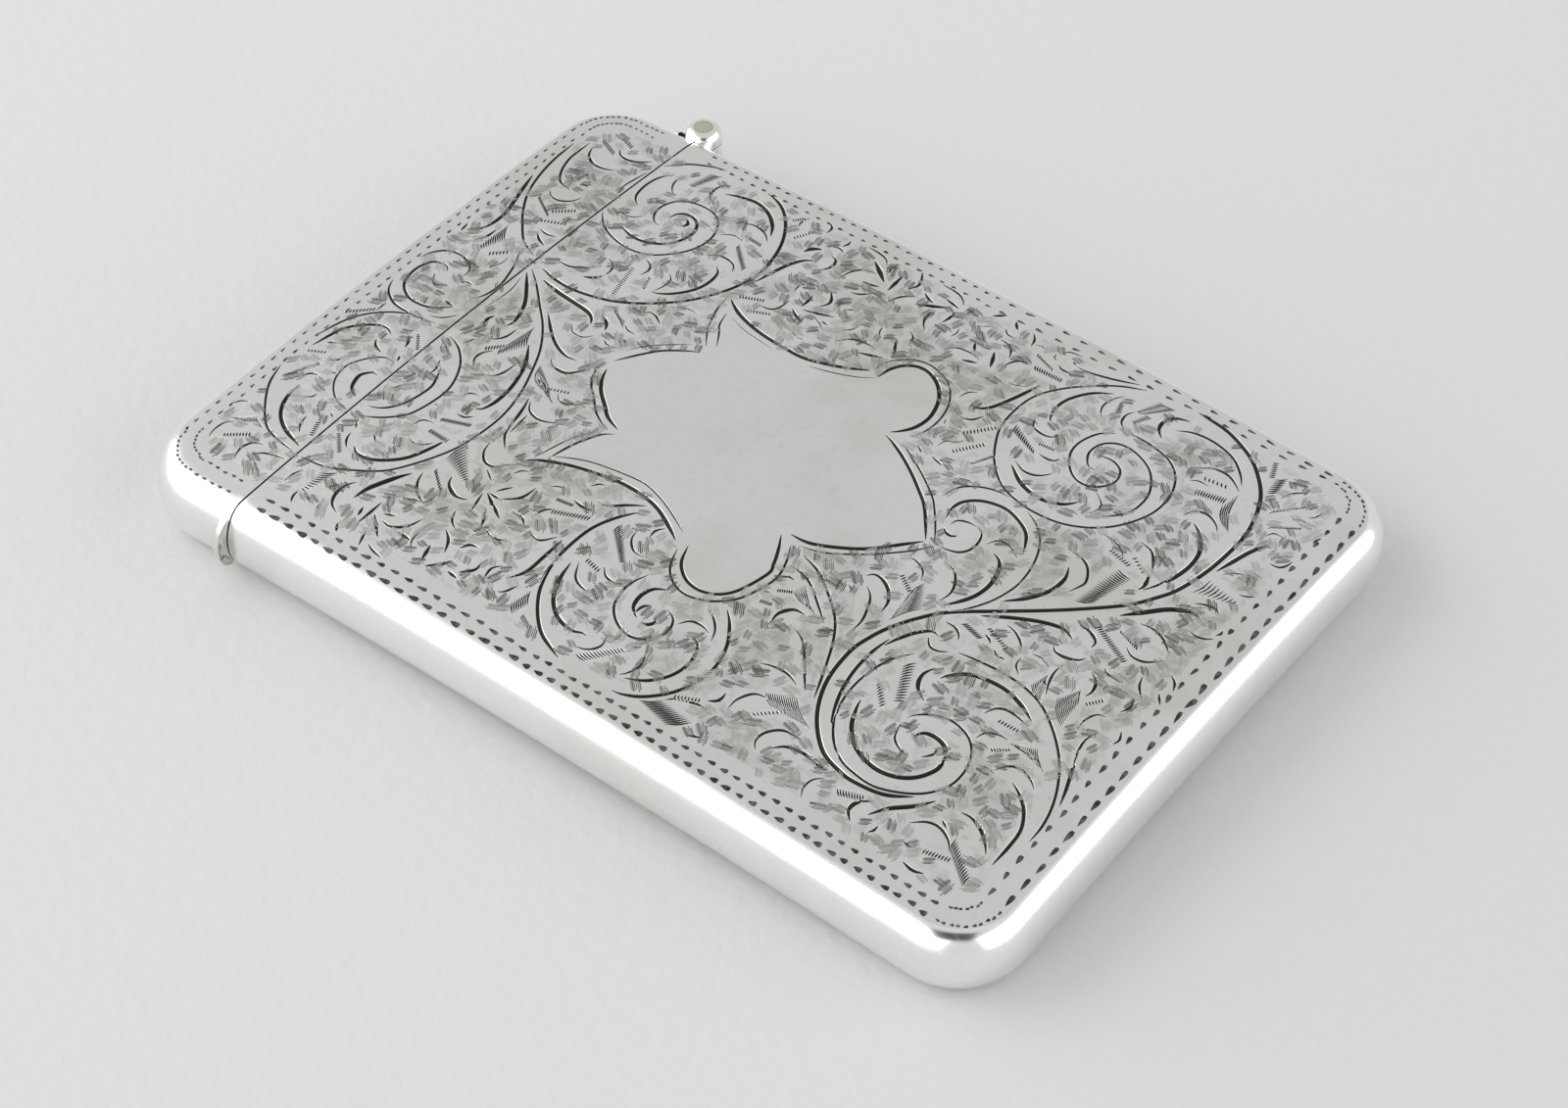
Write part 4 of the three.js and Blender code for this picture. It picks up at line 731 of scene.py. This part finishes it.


# Engraved plate; the last colour is the painted shade laid in its grooves.
engraved_silver = silver("engraved_silver", (0.80, 0.795, 0.78, 1), (0.62, 0.61, 0.58, 1), 0.22, 0.8,
                         0.5, 2.0, (0.03, 0.028, 0.024, 1))
body_front = make_shell("body_front_silver", SEAM_X + SEAM_GAP / 2, 1, 1, all_cuts)
polished_silver = silver("polished_silver", (0.95, 0.945, 0.935, 1), (0.76, 0.74, 0.70, 1), 0.18, 0.5,
                         0.3, 1.0)
# Near-black metal for the sawn faces at the seam and the flat ends of the swellings: painted shade in the
# gaps.
gap_shade_silver = silver("gap_shade_silver", (0.035, 0.033, 0.03, 1), (0.015, 0.014, 0.012, 1), 0.5, 1.0, 0.8)
body_front.data.materials.append(engraved_silver)
body_front.data.materials.append(polished_silver)
body_front.data.materials.append(gap_shade_silver)
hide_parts("body_front_shell")
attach(body_front, "body")

# ---------------------------------------------------------------------------------------------
# Lid, front shell.  The same sheet, sawn off from the body after stamping, so that its plate,
# its rolled sides and the engraving run on across the seam.
lid_front = make_shell("lid_front_silver", SEAM_X - SEAM_GAP / 2, -1, 1, all_cuts)
lid_front.data.materials.append(engraved_silver)
lid_front.data.materials.append(polished_silver)
lid_front.data.materials.append(gap_shade_silver)
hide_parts("lid_front_shell")
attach(lid_front, "lid")

# ---------------------------------------------------------------------------------------------
# Back shells of body and lid.  Plain polished sheet of the same stamping, hollow where the
# front is full, so that the case follows the pocket.
body_back = make_shell("body_back_silver", SEAM_X + SEAM_GAP / 2, 1, -1, [])
lid_back = make_shell("lid_back_silver", SEAM_X - SEAM_GAP / 2, -1, -1, [])
for piece, node, carrier in ((body_back, "body_back_shell", "body"), (lid_back, "lid_back_shell", "lid")):
    for finish in (polished_silver, polished_silver, gap_shade_silver):
        piece.data.materials.append(finish)
    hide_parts(node)
    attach(piece, carrier)

# ---------------------------------------------------------------------------------------------
# Border cuts.  Two rows of small wedge cuts struck one by one with a graver, the outer row
# where the plate rolls over into the sides and the inner row about a millimetre inside it.
# Each is made as a thin wedge laid a hair over the plate, not as a hollow in it, and coloured near black as
# painted shade in the cut.
NICK_PROUD = 0.008
NICK_FREE_OF_HINGE = (-32.2, -27.8)
CORNER_NICK_LENGTH = 0.36
CORNER_NICK_WIDTH = 0.17
NICK_ROWS = (
    # (start x, start y, end x, end y, pitch, length, width) along each straight run, the outer
    # row before the inner one
    (-28.7, -27.55, -2, -27.55, 1.4, 0.98, 0.38),
    (-2, -27.55, 35.3, -27.55, 1.18, 0.74, 0.36),
    (-28.7, -26.4, -2, -26.45, 1.4, 0.85, 0.3),
    (-2, -26.45, 35.4, -26.4, 1.18, 0.68, 0.3),
    (38.9, -23.9, 38.9, 23.7, 1.75, 1.2, 0.32),
    (37.4, -24.1, 37.4, 24.3, 1.75, 0.85, 0.3),
    (35, 27.55, 3, 27.55, 1.75, 0.8, 0.22),
    (3, 27.55, -27.5, 27.55, 1.15, 0.5, 0.2),
    (34.8, 26.9, 3, 26.2, 1.75, 0.75, 0.22),
    (3, 26.2, -27.3, 26.6, 1.15, 0.5, 0.2),
    (-32.4, 27.55, -35.2, 27.55, 0.62, 0.36, 0.16),
    (-32.6, 26.6, -35.1, 26.6, 0.62, 0.32, 0.15),
    (-38.9, 23.8, -38.9, -23.8, 1.25, 0.6, 0.15),
    (-37.95, 23.8, -37.95, -23.3, 1.25, 0.55, 0.18),
    (-35.2, -27.55, -31, -27.55, 0.9, 0.45, 0.2),
    (-35.1, -26.1, -31, -26.1, 0.9, 0.45, 0.2),
)
NICK_CORNERS = (
    # (centre x, centre y, radius, first angle, last angle, pitch) round each corner
    (35.5, -24.15, 3.4, -90, 0, 0.55), (35.6, -24.3, 1.8, -90, 0, 0.42),
    (35.3, 23.95, 3.6, 0, 90, 0.55), (35.0, 24.5, 2.4, 0, 90, 0.45),
    (-35.3, 23.95, 3.6, 90, 180, 0.5), (-35.2, 23.9, 2.7, 90, 180, 0.42),
    (-35.3, -23.95, 3.6, 180, 270, 0.5), (-35.2, -23.4, 2.7, 180, 270, 0.42),
)


def nick_places():
    """Where each border cut is struck, which way it runs, and its length and width."""
    found = []
    for x0, y0, x1, y1, pitch, long, wide in NICK_ROWS:
        count = max(2, round(math.hypot(x1 - x0, y1 - y0) / pitch))
        heading = math.atan2(y1 - y0, x1 - x0)
        for k in range(count):
            t = (k + 0.5) / count
            found.append((x0 + (x1 - x0) * t, y0 + (y1 - y0) * t, heading, long, wide))
    for cx, cy, radius, first, last, pitch in NICK_CORNERS:
        count = round(math.radians(last - first) * radius / pitch)
        for k in range(count):
            turn = math.radians(first + (last - first) * (k + 0.5) / count)
            x, y = cx + radius * math.cos(turn), cy + radius * math.sin(turn)
            found.append((x, y, turn + math.pi / 2, CORNER_NICK_LENGTH, CORNER_NICK_WIDTH))
    return found


def surface_frame(x, y, side, heading, proud):
    """A point on the plate and the turn that lays a flat thing on it, running along heading."""
    step = 0.05
    here = Vector((x, y, surface_height(x, y, side)))
    along_x = Vector((step, 0, surface_height(x + step, y, side) - here.z))
    along_y = Vector((0, step, surface_height(x, y + step, side) - here.z))
    up = along_x.cross(along_y).normalized() * side
    run = Vector((math.cos(heading), math.sin(heading), 0))
    run = (run - up * run.dot(up)).normalized()
    turn = Matrix((run, up.cross(run), up)).transposed()
    return placed(*(here + up * proud)), turn.to_euler()


class Tree:
    """A Geometry Nodes tree with named inputs, and nodes made by type, settings and inputs."""

    def __init__(self, name, inputs):
        self.group = bpy.data.node_groups.new(name, "GeometryNodeTree")
        self.group.interface.new_socket("Geometry", in_out="INPUT", socket_type="NodeSocketGeometry")
        self.names = {}
        for label, (kind, value) in inputs.items():
            socket = self.group.interface.new_socket(label, in_out="INPUT", socket_type=kind)
            if value is not None:
                socket.default_value = value
            self.names[label] = socket.identifier
        self.group.interface.new_socket("Geometry", in_out="OUTPUT", socket_type="NodeSocketGeometry")
        self.inputs = self.group.nodes.new("NodeGroupInput")
        self.result = self.group.nodes.new("NodeGroupOutput")

    def given(self, label):
        return self.inputs.outputs[label]

    def node(self, kind, settings, inputs, output=0):
        node = self.group.nodes.new(kind)
        for key, value in settings.items():
            setattr(node, key, value)
        for key, value in inputs.items():
            if isinstance(value, bpy.types.NodeSocket):
                self.group.links.new(value, node.inputs[key])
            else:
                node.inputs[key].default_value = value
        return node.outputs[output]

    def finish(self, geometry_socket):
        """Ends the tree in Realize Instances and Set Material."""
        real = self.node("GeometryNodeRealizeInstances", {}, {"Geometry": geometry_socket})
        coated = self.node("GeometryNodeSetMaterial", {}, {"Geometry": real,
                                                          "Material": self.given("Material")})
        self.group.links.new(coated, self.result.inputs[0])

    def grow(self, name, base, values):
        """Runs the tree on a mesh and returns what it makes as a plain mesh object."""
        carrier = bpy.data.objects.new(name + "_base", base)
        bpy.context.collection.objects.link(carrier)
        modifier = carrier.modifiers.new(name, "NODES")
        modifier.node_group = self.group
        for label, value in values.items():
            modifier[self.names[label]] = value
        carrier.update_tag()
        seen = carrier.evaluated_get(bpy.context.evaluated_depsgraph_get())
        data = bpy.data.meshes.new_from_object(seen)
        data.name = name
        carrier.modifiers.clear()
        bpy.data.objects.remove(carrier)
        piece = bpy.data.objects.new(name, data)
        bpy.context.collection.objects.link(piece)
        return piece


def nick_shape():
    """One wedge cut, a millimetre long before it is sized: blunt in front, drawn out behind."""
    outline = [(-0.5, 0.0), (-0.25, 0.24), (0.1, 0.42), (0.35, 0.46), (0.5, 0.3), (0.5, -0.2),
               (0.3, -0.34), (0.0, -0.3), (-0.3, -0.14)]
    mesh = bpy.data.meshes.new("nick_shape")
    points = [(x / 1000, y / 1000, 0) for x, y in outline] + [(0.00012, 0.00002, -0.0000065)]
    top = len(outline)
    mesh.from_pydata(points, [], [(top, (i + 1) % top, i) for i in range(top)])
    return bpy.data.objects.new("nick_shape", mesh)


nick_tree = Tree("border_cuts", {"Material": ("NodeSocketMaterial", None),
                                 "Cut": ("NodeSocketObject", None)})
turn = nick_tree.node("GeometryNodeInputNamedAttribute", {"data_type": "FLOAT_VECTOR"}, {"Name": "turn"})
size = nick_tree.node("GeometryNodeInputNamedAttribute", {"data_type": "FLOAT_VECTOR"}, {"Name": "size"})
cut_shape = nick_tree.node("GeometryNodeObjectInfo", {}, {"Object": nick_tree.given("Cut")}, "Geometry")
struck = nick_tree.node("GeometryNodeInstanceOnPoints", {}, {
    "Points": nick_tree.given("Geometry"), "Instance": cut_shape, "Rotation": turn, "Scale": size})
nick_tree.finish(struck)

# Near-black metal for the border cuts: painted shade inside each cut.
nick_shade_silver = bpy.data.materials.new("nick_shade_silver")
nick_shade_silver.use_nodes = True
cut_shader = nick_shade_silver.node_tree.nodes["Principled BSDF"]
cut_shader.inputs["Metallic"].default_value = 1.0
cut_base = Tone(nick_shade_silver.node_tree, None)
cut_place = cut_base.made("ShaderNodeTexCoord", {}, {}, "Object")
cut_cloud = cut_base.made("ShaderNodeTexNoise", {}, {"Vector": cut_place, "Scale": 1400.0, "Detail": 2.0})
nick_shade_colour = cut_cloud.spread(0.35, 0.65).blend((0.05, 0.048, 0.045, 1), (0.16, 0.155, 0.15, 1))
cut_rough = cut_cloud.spread(0.3, 0.7, 0.38, 0.55)
nick_shade_silver.node_tree.links.new(nick_shade_colour.socket, cut_shader.inputs["Base Color"])
nick_shade_silver.node_tree.links.new(cut_rough.socket, cut_shader.inputs["Roughness"])

nick = nick_shape()
for name, carrier, towards, seam in (("body_border_cuts", "body", 1, SEAM_X + SEAM_GAP / 2),
                                     ("lid_border_cuts", "lid", -1, SEAM_X - SEAM_GAP / 2)):
    here = [n for n in nick_places() if (n[0] - seam) * towards > 0.5]
    here = [n for n in here if n[1] < 20 or not NICK_FREE_OF_HINGE[0] < n[0] < NICK_FREE_OF_HINGE[1]]
    wobble = np.random.default_rng(7)
    points, turns, sizes = [], [], []
    for x, y, heading, long, wide in here:
        off, swing = wobble.normal(0, 0.04, 2), wobble.normal(0, 0.09)
        point, lie = surface_frame(x + off[0], y + off[1], 1, heading + swing, NICK_PROUD)
        points.append(point)
        turns += list(lie)
        sizes += [long * wobble.uniform(0.85, 1.12), wide * wobble.uniform(1.3, 1.75), 1.0]
    base = bpy.data.meshes.new(name + "_places")
    base.from_pydata(points, [], [])
    base.attributes.new("turn", "FLOAT_VECTOR", "POINT").data.foreach_set("vector", turns)
    base.attributes.new("size", "FLOAT_VECTOR", "POINT").data.foreach_set("vector", sizes)
    piece = nick_tree.grow(name, base, {"Material": nick_shade_silver, "Cut": nick})
    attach(piece, carrier)

# ---------------------------------------------------------------------------------------------
# Ground cuts.  Between the leaves the engraver roughened the plate with short patches of
# parallel cuts laid this way and that, which make the clear leaves stand out.  These too are
# thin slips laid a hair over the plate, coloured dark grey of random tone as painted shade in the cuts.
GROUND_PROUD = 0.004
GROUND_SQUARE = 0.4


def ground_mesh(name, seam, towards, side):
    """The squares of plate that are ground, as a mesh for the patches to lie on."""
    step = GROUND_SQUARE
    points, faces = [], []
    for x in np.arange(-37.4, 37, step):
        if (x - seam) * towards < 0.25 or (x + step - seam) * towards < 0.25:
            continue
        for y in np.arange(-25.6, 25.8, step):
            if is_ground(x + step / 2, y + step / 2):
                first = len(points)
                for u, v in ((0, 0), (1, 0), (1, 1), (0, 1)):
                    px, py = x + u * step, y + v * step
                    points.append(placed(px, py, surface_height(px, py, side) + side * GROUND_PROUD))
                faces.append((first, first + 1, first + 2, first + 3))
    mesh = bpy.data.meshes.new(name)
    mesh.from_pydata(points, [], faces)
    return mesh


ground_tree = Tree("ground_cuts", {
    "Material": ("NodeSocketMaterial", None),
    "Spacing": ("NodeSocketFloat", 0.00066), "Density": ("NodeSocketFloat", 2600000.0),
    "Cuts": ("NodeSocketInt", 6), "Cut Pitch": ("NodeSocketFloat", 0.00013),
    "Cut Length": ("NodeSocketFloat", 0.00115), "Cut Width": ("NodeSocketFloat", 0.000075),
    "Seed": ("NodeSocketInt", 3)})
spots = ground_tree.group.nodes.new("GeometryNodeDistributePointsOnFaces")
spots.distribute_method = "POISSON"
for socket, label in (("Mesh", "Geometry"), ("Distance Min", "Spacing"), ("Density Max", "Density"),
                      ("Seed", "Seed")):
    ground_tree.group.links.new(ground_tree.given(label), spots.inputs[socket])
cut_blade = ground_tree.node("GeometryNodeMeshGrid", {}, {
    "Size X": ground_tree.given("Cut Length"), "Size Y": ground_tree.given("Cut Width"),
    "Vertices X": 3, "Vertices Y": 2}, "Mesh")
pitch_step = ground_tree.node("ShaderNodeCombineXYZ", {}, {
    "X": 0.00004, "Y": ground_tree.given("Cut Pitch")})
cut_row = ground_tree.node("GeometryNodeMeshLine", {}, {
    "Count": ground_tree.given("Cuts"), "Offset": pitch_step}, "Mesh")
blade_scale = ground_tree.node("FunctionNodeRandomValue", {"data_type": "FLOAT_VECTOR"}, {
    0: (0.6, 0.6, 1.0), 1: (1.15, 1.5, 1.0), "Seed": 5})
patch = ground_tree.node("GeometryNodeInstanceOnPoints", {}, {
    "Points": cut_row, "Instance": cut_blade, "Scale": blade_scale})
patch = ground_tree.node("GeometryNodeRealizeInstances", {}, {"Geometry": patch})
swing = ground_tree.node("FunctionNodeRandomValue", {"data_type": "INT"}, {4: 0, 5: 3, "Seed": 11}, 2)
loose = ground_tree.node("FunctionNodeRandomValue", {"data_type": "FLOAT"}, {
    2: -0.3, 3: 0.3, "Seed": 12}, 1)
angle = ground_tree.node("ShaderNodeMath", {"operation": "MULTIPLY_ADD"}, {0: swing, 1: 0.8, 2: loose})
about = ground_tree.node("ShaderNodeCombineXYZ", {}, {"Z": angle})
local = ground_tree.node("FunctionNodeEulerToRotation", {}, {0: about})
lie = ground_tree.node("FunctionNodeRotateRotation", {"rotation_space": "LOCAL"}, {
    0: spots.outputs["Rotation"], 1: local})
patch_size = ground_tree.node("FunctionNodeRandomValue", {"data_type": "FLOAT"}, {2: 0.7, 3: 1.15,
                                                                                 "Seed": 13}, 1)
laid = ground_tree.node("GeometryNodeInstanceOnPoints", {}, {
    "Points": spots.outputs["Points"], "Instance": patch, "Rotation": lie, "Scale": patch_size})
tone = ground_tree.node("FunctionNodeRandomValue", {"data_type": "FLOAT"}, {"Seed": 14}, 1)
toned = ground_tree.node("GeometryNodeStoreNamedAttribute", {"data_type": "FLOAT", "domain": "INSTANCE"}, {
    "Geometry": laid, "Name": "tone", "Value": tone})
ground_tree.finish(toned)

# Dark grey metal for the ground slips, random in tone: painted shade in the cuts.
ground_cut_shade_silver = bpy.data.materials.new("ground_cut_shade_silver")
ground_cut_shade_silver.use_nodes = True
ground_shader = ground_cut_shade_silver.node_tree.nodes["Principled BSDF"]
ground_shader.inputs["Metallic"].default_value = 1.0
ground_base = Tone(ground_cut_shade_silver.node_tree, None)
ground_tone = ground_base.made("ShaderNodeAttribute", {"attribute_name": "tone"}, {}, "Fac")
ground_cut_shade_colour = ground_tone.spread(0.0, 0.9).blend((0.10, 0.095, 0.085, 1), (0.55, 0.54, 0.52, 1))
ground_rough = ground_tone.spread(0.0, 1.0, 0.42, 0.25)
ground_cut_shade_silver.node_tree.links.new(ground_cut_shade_colour.socket, ground_shader.inputs["Base Color"])
ground_cut_shade_silver.node_tree.links.new(ground_rough.socket, ground_shader.inputs["Roughness"])

for name, carrier, towards, seam in (("body_ground_cuts", "body", 1, SEAM_X + SEAM_GAP / 2),
                                     ("lid_ground_cuts", "lid", -1, SEAM_X - SEAM_GAP / 2)):
    base = ground_mesh(name + "_area", seam, towards, 1)
    piece = ground_tree.grow(name, base, {"Material": ground_cut_shade_silver})
    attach(piece, carrier)

# ---------------------------------------------------------------------------------------------
# Rim, hinge and thumb piece.  Soldered silver fittings: a rim that closes the pocket under the
# lid, a hinge of three knuckles on a nickel pin with filed swellings either side, and a small
# hollowed thumb piece to push the lid open by.
# The rim carries a band of painted shade where it shows through the seam.
inner_silver = silver("inner_silver", (0.84, 0.80, 0.70, 1), (0.66, 0.61, 0.50, 1), 0.28, 0.7, 0.4, 1.0,
                      seam_shade=True)
pin_metal = silver("pin_metal", (0.62, 0.58, 0.48, 1), (0.34, 0.31, 0.25, 1), 0.32, 0.9, 0.8, 2.0)
fitting_silver = silver("fitting_silver", (0.86, 0.855, 0.84, 1), (0.60, 0.58, 0.54, 1), 0.2, 0.6,
                        0.3, 1.0)
for node, material in (("body_rim", inner_silver), ("body_knuckle", fitting_silver),
                       ("hinge_pin", pin_metal)):
    part = bpy.data.objects[node]
    for slot in part.material_slots:
        slot.material = material


def closed_piece(name, points, faces, sawn=None):
    """A smooth closed piece from its points and faces; the sawn face gets the dark gap material, painted
    shade.
    """
    mesh = bmesh.new()
    verts = [mesh.verts.new(p) for p in points]
    for i, face in enumerate(faces):
        mesh.faces.new([verts[k] for k in face]).material_index = int(i == sawn)
    bmesh.ops.remove_doubles(mesh, verts=mesh.verts, dist=1e-7)
    bmesh.ops.recalc_face_normals(mesh, faces=mesh.faces)
    for edge_line in mesh.edges:
        edge_line.smooth = edge_line.calc_face_angle(0) < 0.7
    data = bpy.data.meshes.new(name)
    mesh.to_mesh(data)
    mesh.free()
    data.polygons.foreach_set("use_smooth", [True] * len(data.polygons))
    data.materials.append(fitting_silver)
    data.materials.append(gap_shade_silver)
    piece = bpy.data.objects.new(name, data)
    bpy.context.collection.objects.link(piece)
    return piece


def domed_knuckle(name, node, up):
    """A knuckle turned from rod, its outer end (up 1 or -1) rounded over round the pin."""
    low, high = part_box(node)
    cx, cy, radius = (low[0] + high[0]) / 2, (low[1] + high[1]) / 2, (high[0] - low[0]) / 2
    outer, inner = (high[2], low[2]) if up > 0 else (low[2], high[2])
    bore = radius * 0.49
    rounding = abs(outer - inner) * 0.78
    profile = [(bore, outer)]
    for turn in np.linspace(0, math.pi / 2, 9):
        reach = radius - (radius - bore * 1.12) * (1 - math.sin(turn))
        profile.append((reach, outer - up * rounding * (1 - math.cos(turn))))
    profile += [(radius, inner), (bore, inner)]
    points, faces = [], []
    segments = 56
    for k in range(segments):
        turn = 2 * math.pi * k / segments
        points += [(cx + reach * math.cos(turn), cy + reach * math.sin(turn), z) for reach, z in profile]
    count = len(profile)
    for k in range(segments):
        for i in range(count):
            a, b = k * count, (k + 1) % segments * count
            faces.append((a + i, b + i, b + (i + 1) % count, a + (i + 1) % count))
    return closed_piece(name, points, faces)


def half_dome(name, start, end, low_z, high_z, base_y, top_y, hollow=0.0):
    """A filed swelling on the side: sawn flat or hollow where it starts, and dying away along the case; a
    sawn flat face carries painted shade.
    """
    middle, half = (low_z + high_z) / 2, (high_z - low_z) / 2
    points, faces = [], []
    rings, rays = 9, 24
    for i in range(rings + 1):
        reach = math.sin(math.pi / 2 * i / rings)
        for k in range(rays + 1):
            turn = math.pi * k / rays - math.pi / 2
            points.append((start + (end - start) * reach * math.cos(turn), base_y + (top_y - base_y)
                           * math.sqrt(max(0, 1 - reach ** 2.4)), middle + half * reach * math.sin(turn)))
    row = rays + 1
    for i in range(rings):
        for k in range(rays):
            faces.append((i * row + k, (i + 1) * row + k, (i + 1) * row + k + 1, i * row + k + 1))
    faces.append([rings * row + k for k in range(rays + 1)])
    mouth = [i * row for i in range(rings, 0, -1)] + [0] + [i * row + rays for i in range(1, rings + 1)]
    if not hollow:
        return closed_piece(name, points, faces + [mouth], len(faces))
    deep = (start + (end - start) * hollow, base_y + (top_y - base_y) * 0.45, middle)
    lip = len(points)
    for i in mouth:
        x, y, z = points[i]
        points.append((x + (deep[0] - x) * 0.3, y + (deep[1] - y) * 0.3, z + (deep[2] - z) * 0.3))
    points.append(deep)
    for i in range(len(mouth)):
        after = (i + 1) % len(mouth)
        faces.append((mouth[i], mouth[after], lip + after, lip + i))
        faces.append((lip + i, lip + after, len(points) - 1))
    return closed_piece(name, points, faces)


leaf_low, leaf_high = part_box("body_hinge_leaf")
lid_leaf_low, lid_leaf_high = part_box("lid_hinge_leaf")
body_knuckle_low, body_knuckle_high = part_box("body_knuckle")
thumb_low, thumb_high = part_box("thumb_piece")
fittings = (
    (domed_knuckle("lid_top_knuckle_silver", "lid_knuckle_top", 1), "lid_knuckle_top", "lid"),
    (domed_knuckle("lid_lower_knuckle_silver", "lid_knuckle_bottom", -1), "lid_knuckle_bottom", "lid"),
    (half_dome("body_boss", body_knuckle_high[0] - 0.0006, leaf_high[0], body_knuckle_low[2] + 0.00005,
               body_knuckle_high[2] - 0.00005, leaf_low[1] - 0.0003, leaf_high[1] + 0.0003),
     "body_hinge_leaf", "body"),
    (half_dome("lid_ear", lid_leaf_high[0] + 0.0002, lid_leaf_low[0], lid_leaf_low[2], lid_leaf_high[2],
               lid_leaf_low[1] - 0.0003, lid_leaf_high[1] - 0.0002), "lid_hinge_leaf", "lid"),
    (half_dome("thumb_catch", thumb_high[0], thumb_low[0], thumb_low[2], thumb_high[2], thumb_high[1],
               thumb_low[1], 0.45), "thumb_piece", "lid"),
)
for piece, node, carrier in fittings:
    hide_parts(node)
    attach(piece, carrier)

# ---------------------------------------------------------------------------------------------
# Table, light and camera.  A pale table under broad white cloth boxes, with one dark card that
# the rounded corner mirrors and the camera does not see.
table_mesh = bpy.data.meshes.new("table")
table_mesh.from_pydata([(-3, -3, 0), (3, -3, 0), (3, 3, 0), (-3, 3, 0)], [], [(0, 1, 2, 3)])
table = bpy.data.objects.new("table", table_mesh)
bpy.context.collection.objects.link(table)
table_paint = bpy.data.materials.new("table_paint")
table_paint.use_nodes = True
table_shader = table_paint.node_tree.nodes["Principled BSDF"]
table_shader.inputs["Base Color"].default_value = (0.60, 0.60, 0.60, 1)
table_shader.inputs["Roughness"].default_value = 0.75
table_shader.inputs["Specular IOR Level"].default_value = 0.15
table_base = Tone(table_paint.node_tree, None)
table_place = table_base.made("ShaderNodeTexCoord", {}, {}, "Object")
table_grain = table_base.made("ShaderNodeTexNoise", {}, {
    "Vector": table_place, "Scale": 900.0, "Detail": 3.0})
table_bump = table_base.made("ShaderNodeBump", {}, {"Strength": 0.35, "Distance": 0.0002,
                                                    "Height": table_grain})
table_paint.node_tree.links.new(table_bump.socket, table_shader.inputs["Normal"])
table_mesh.materials.append(table_paint)

world = bpy.data.worlds.new("room")
bpy.context.scene.world = world
world.use_nodes = True
world.node_tree.nodes["Background"].inputs["Color"].default_value = (1, 1, 1, 1)
world.node_tree.nodes["Background"].inputs["Strength"].default_value = 0.68


def cloth_box(name, place, aim, width, height, power):
    """A flat rectangle of soft white light at a place, facing a point."""
    light = bpy.data.lights.new(name, "AREA")
    light.shape = "RECTANGLE"
    light.size = width
    light.size_y = height
    light.energy = power
    lamp = bpy.data.objects.new(name, light)
    bpy.context.collection.objects.link(lamp)
    lamp.location = place
    lamp.rotation_euler = (Vector(aim) - Vector(place)).to_track_quat("-Z", "Y").to_euler()


cloth_box("front_box", (-0.46, -0.92, 0.56), (0, 0, 0.05), 2.4, 1.3, 13.5)
cloth_box("right_box", (1.05, 0.35, 0.48), (0, 0, 0.05), 2.0, 1.1, 8.5)
cloth_box("left_box", (-0.95, -0.27, 0.6), (0, 0, 0), 1.15, 1.15, 6)

card_mesh = bpy.data.meshes.new("dark_card")
card_mesh.from_pydata([(-0.11, -0.08, 0), (0.11, -0.08, 0), (0.11, 0.08, 0), (-0.11, 0.08, 0)], [],
                      [(0, 1, 2, 3)])
card = bpy.data.objects.new("dark_card", card_mesh)
bpy.context.collection.objects.link(card)
card.location = (0.132, -0.181, 0.228)
card.rotation_euler = Vector(card.location).to_track_quat("Z", "Y").to_euler()
card_paint = bpy.data.materials.new("card_paint")
card_paint.use_nodes = True
card_paint.node_tree.nodes["Principled BSDF"].inputs["Base Color"].default_value = (0.02, 0.02, 0.02, 1)
card_mesh.materials.append(card_paint)
card.visible_camera = False
bpy.context.scene.view_settings.view_transform = "Standard"

camera_data = bpy.data.cameras.new("camera")
camera = bpy.data.objects.new("camera", camera_data)
bpy.context.collection.objects.link(camera)
camera_data.sensor_width = 36
camera_data.lens = 82.506
camera_data.clip_start = 0.01
camera.matrix_world = Matrix((
    (0.79483, -0.44744, 0.40993, 0.11819),
    (0.60636, 0.55903, -0.56552, -0.16120),
    (0.02387, 0.69805, 0.71565, 0.20240),
    (0, 0, 0, 1)))
bpy.context.scene.camera = camera
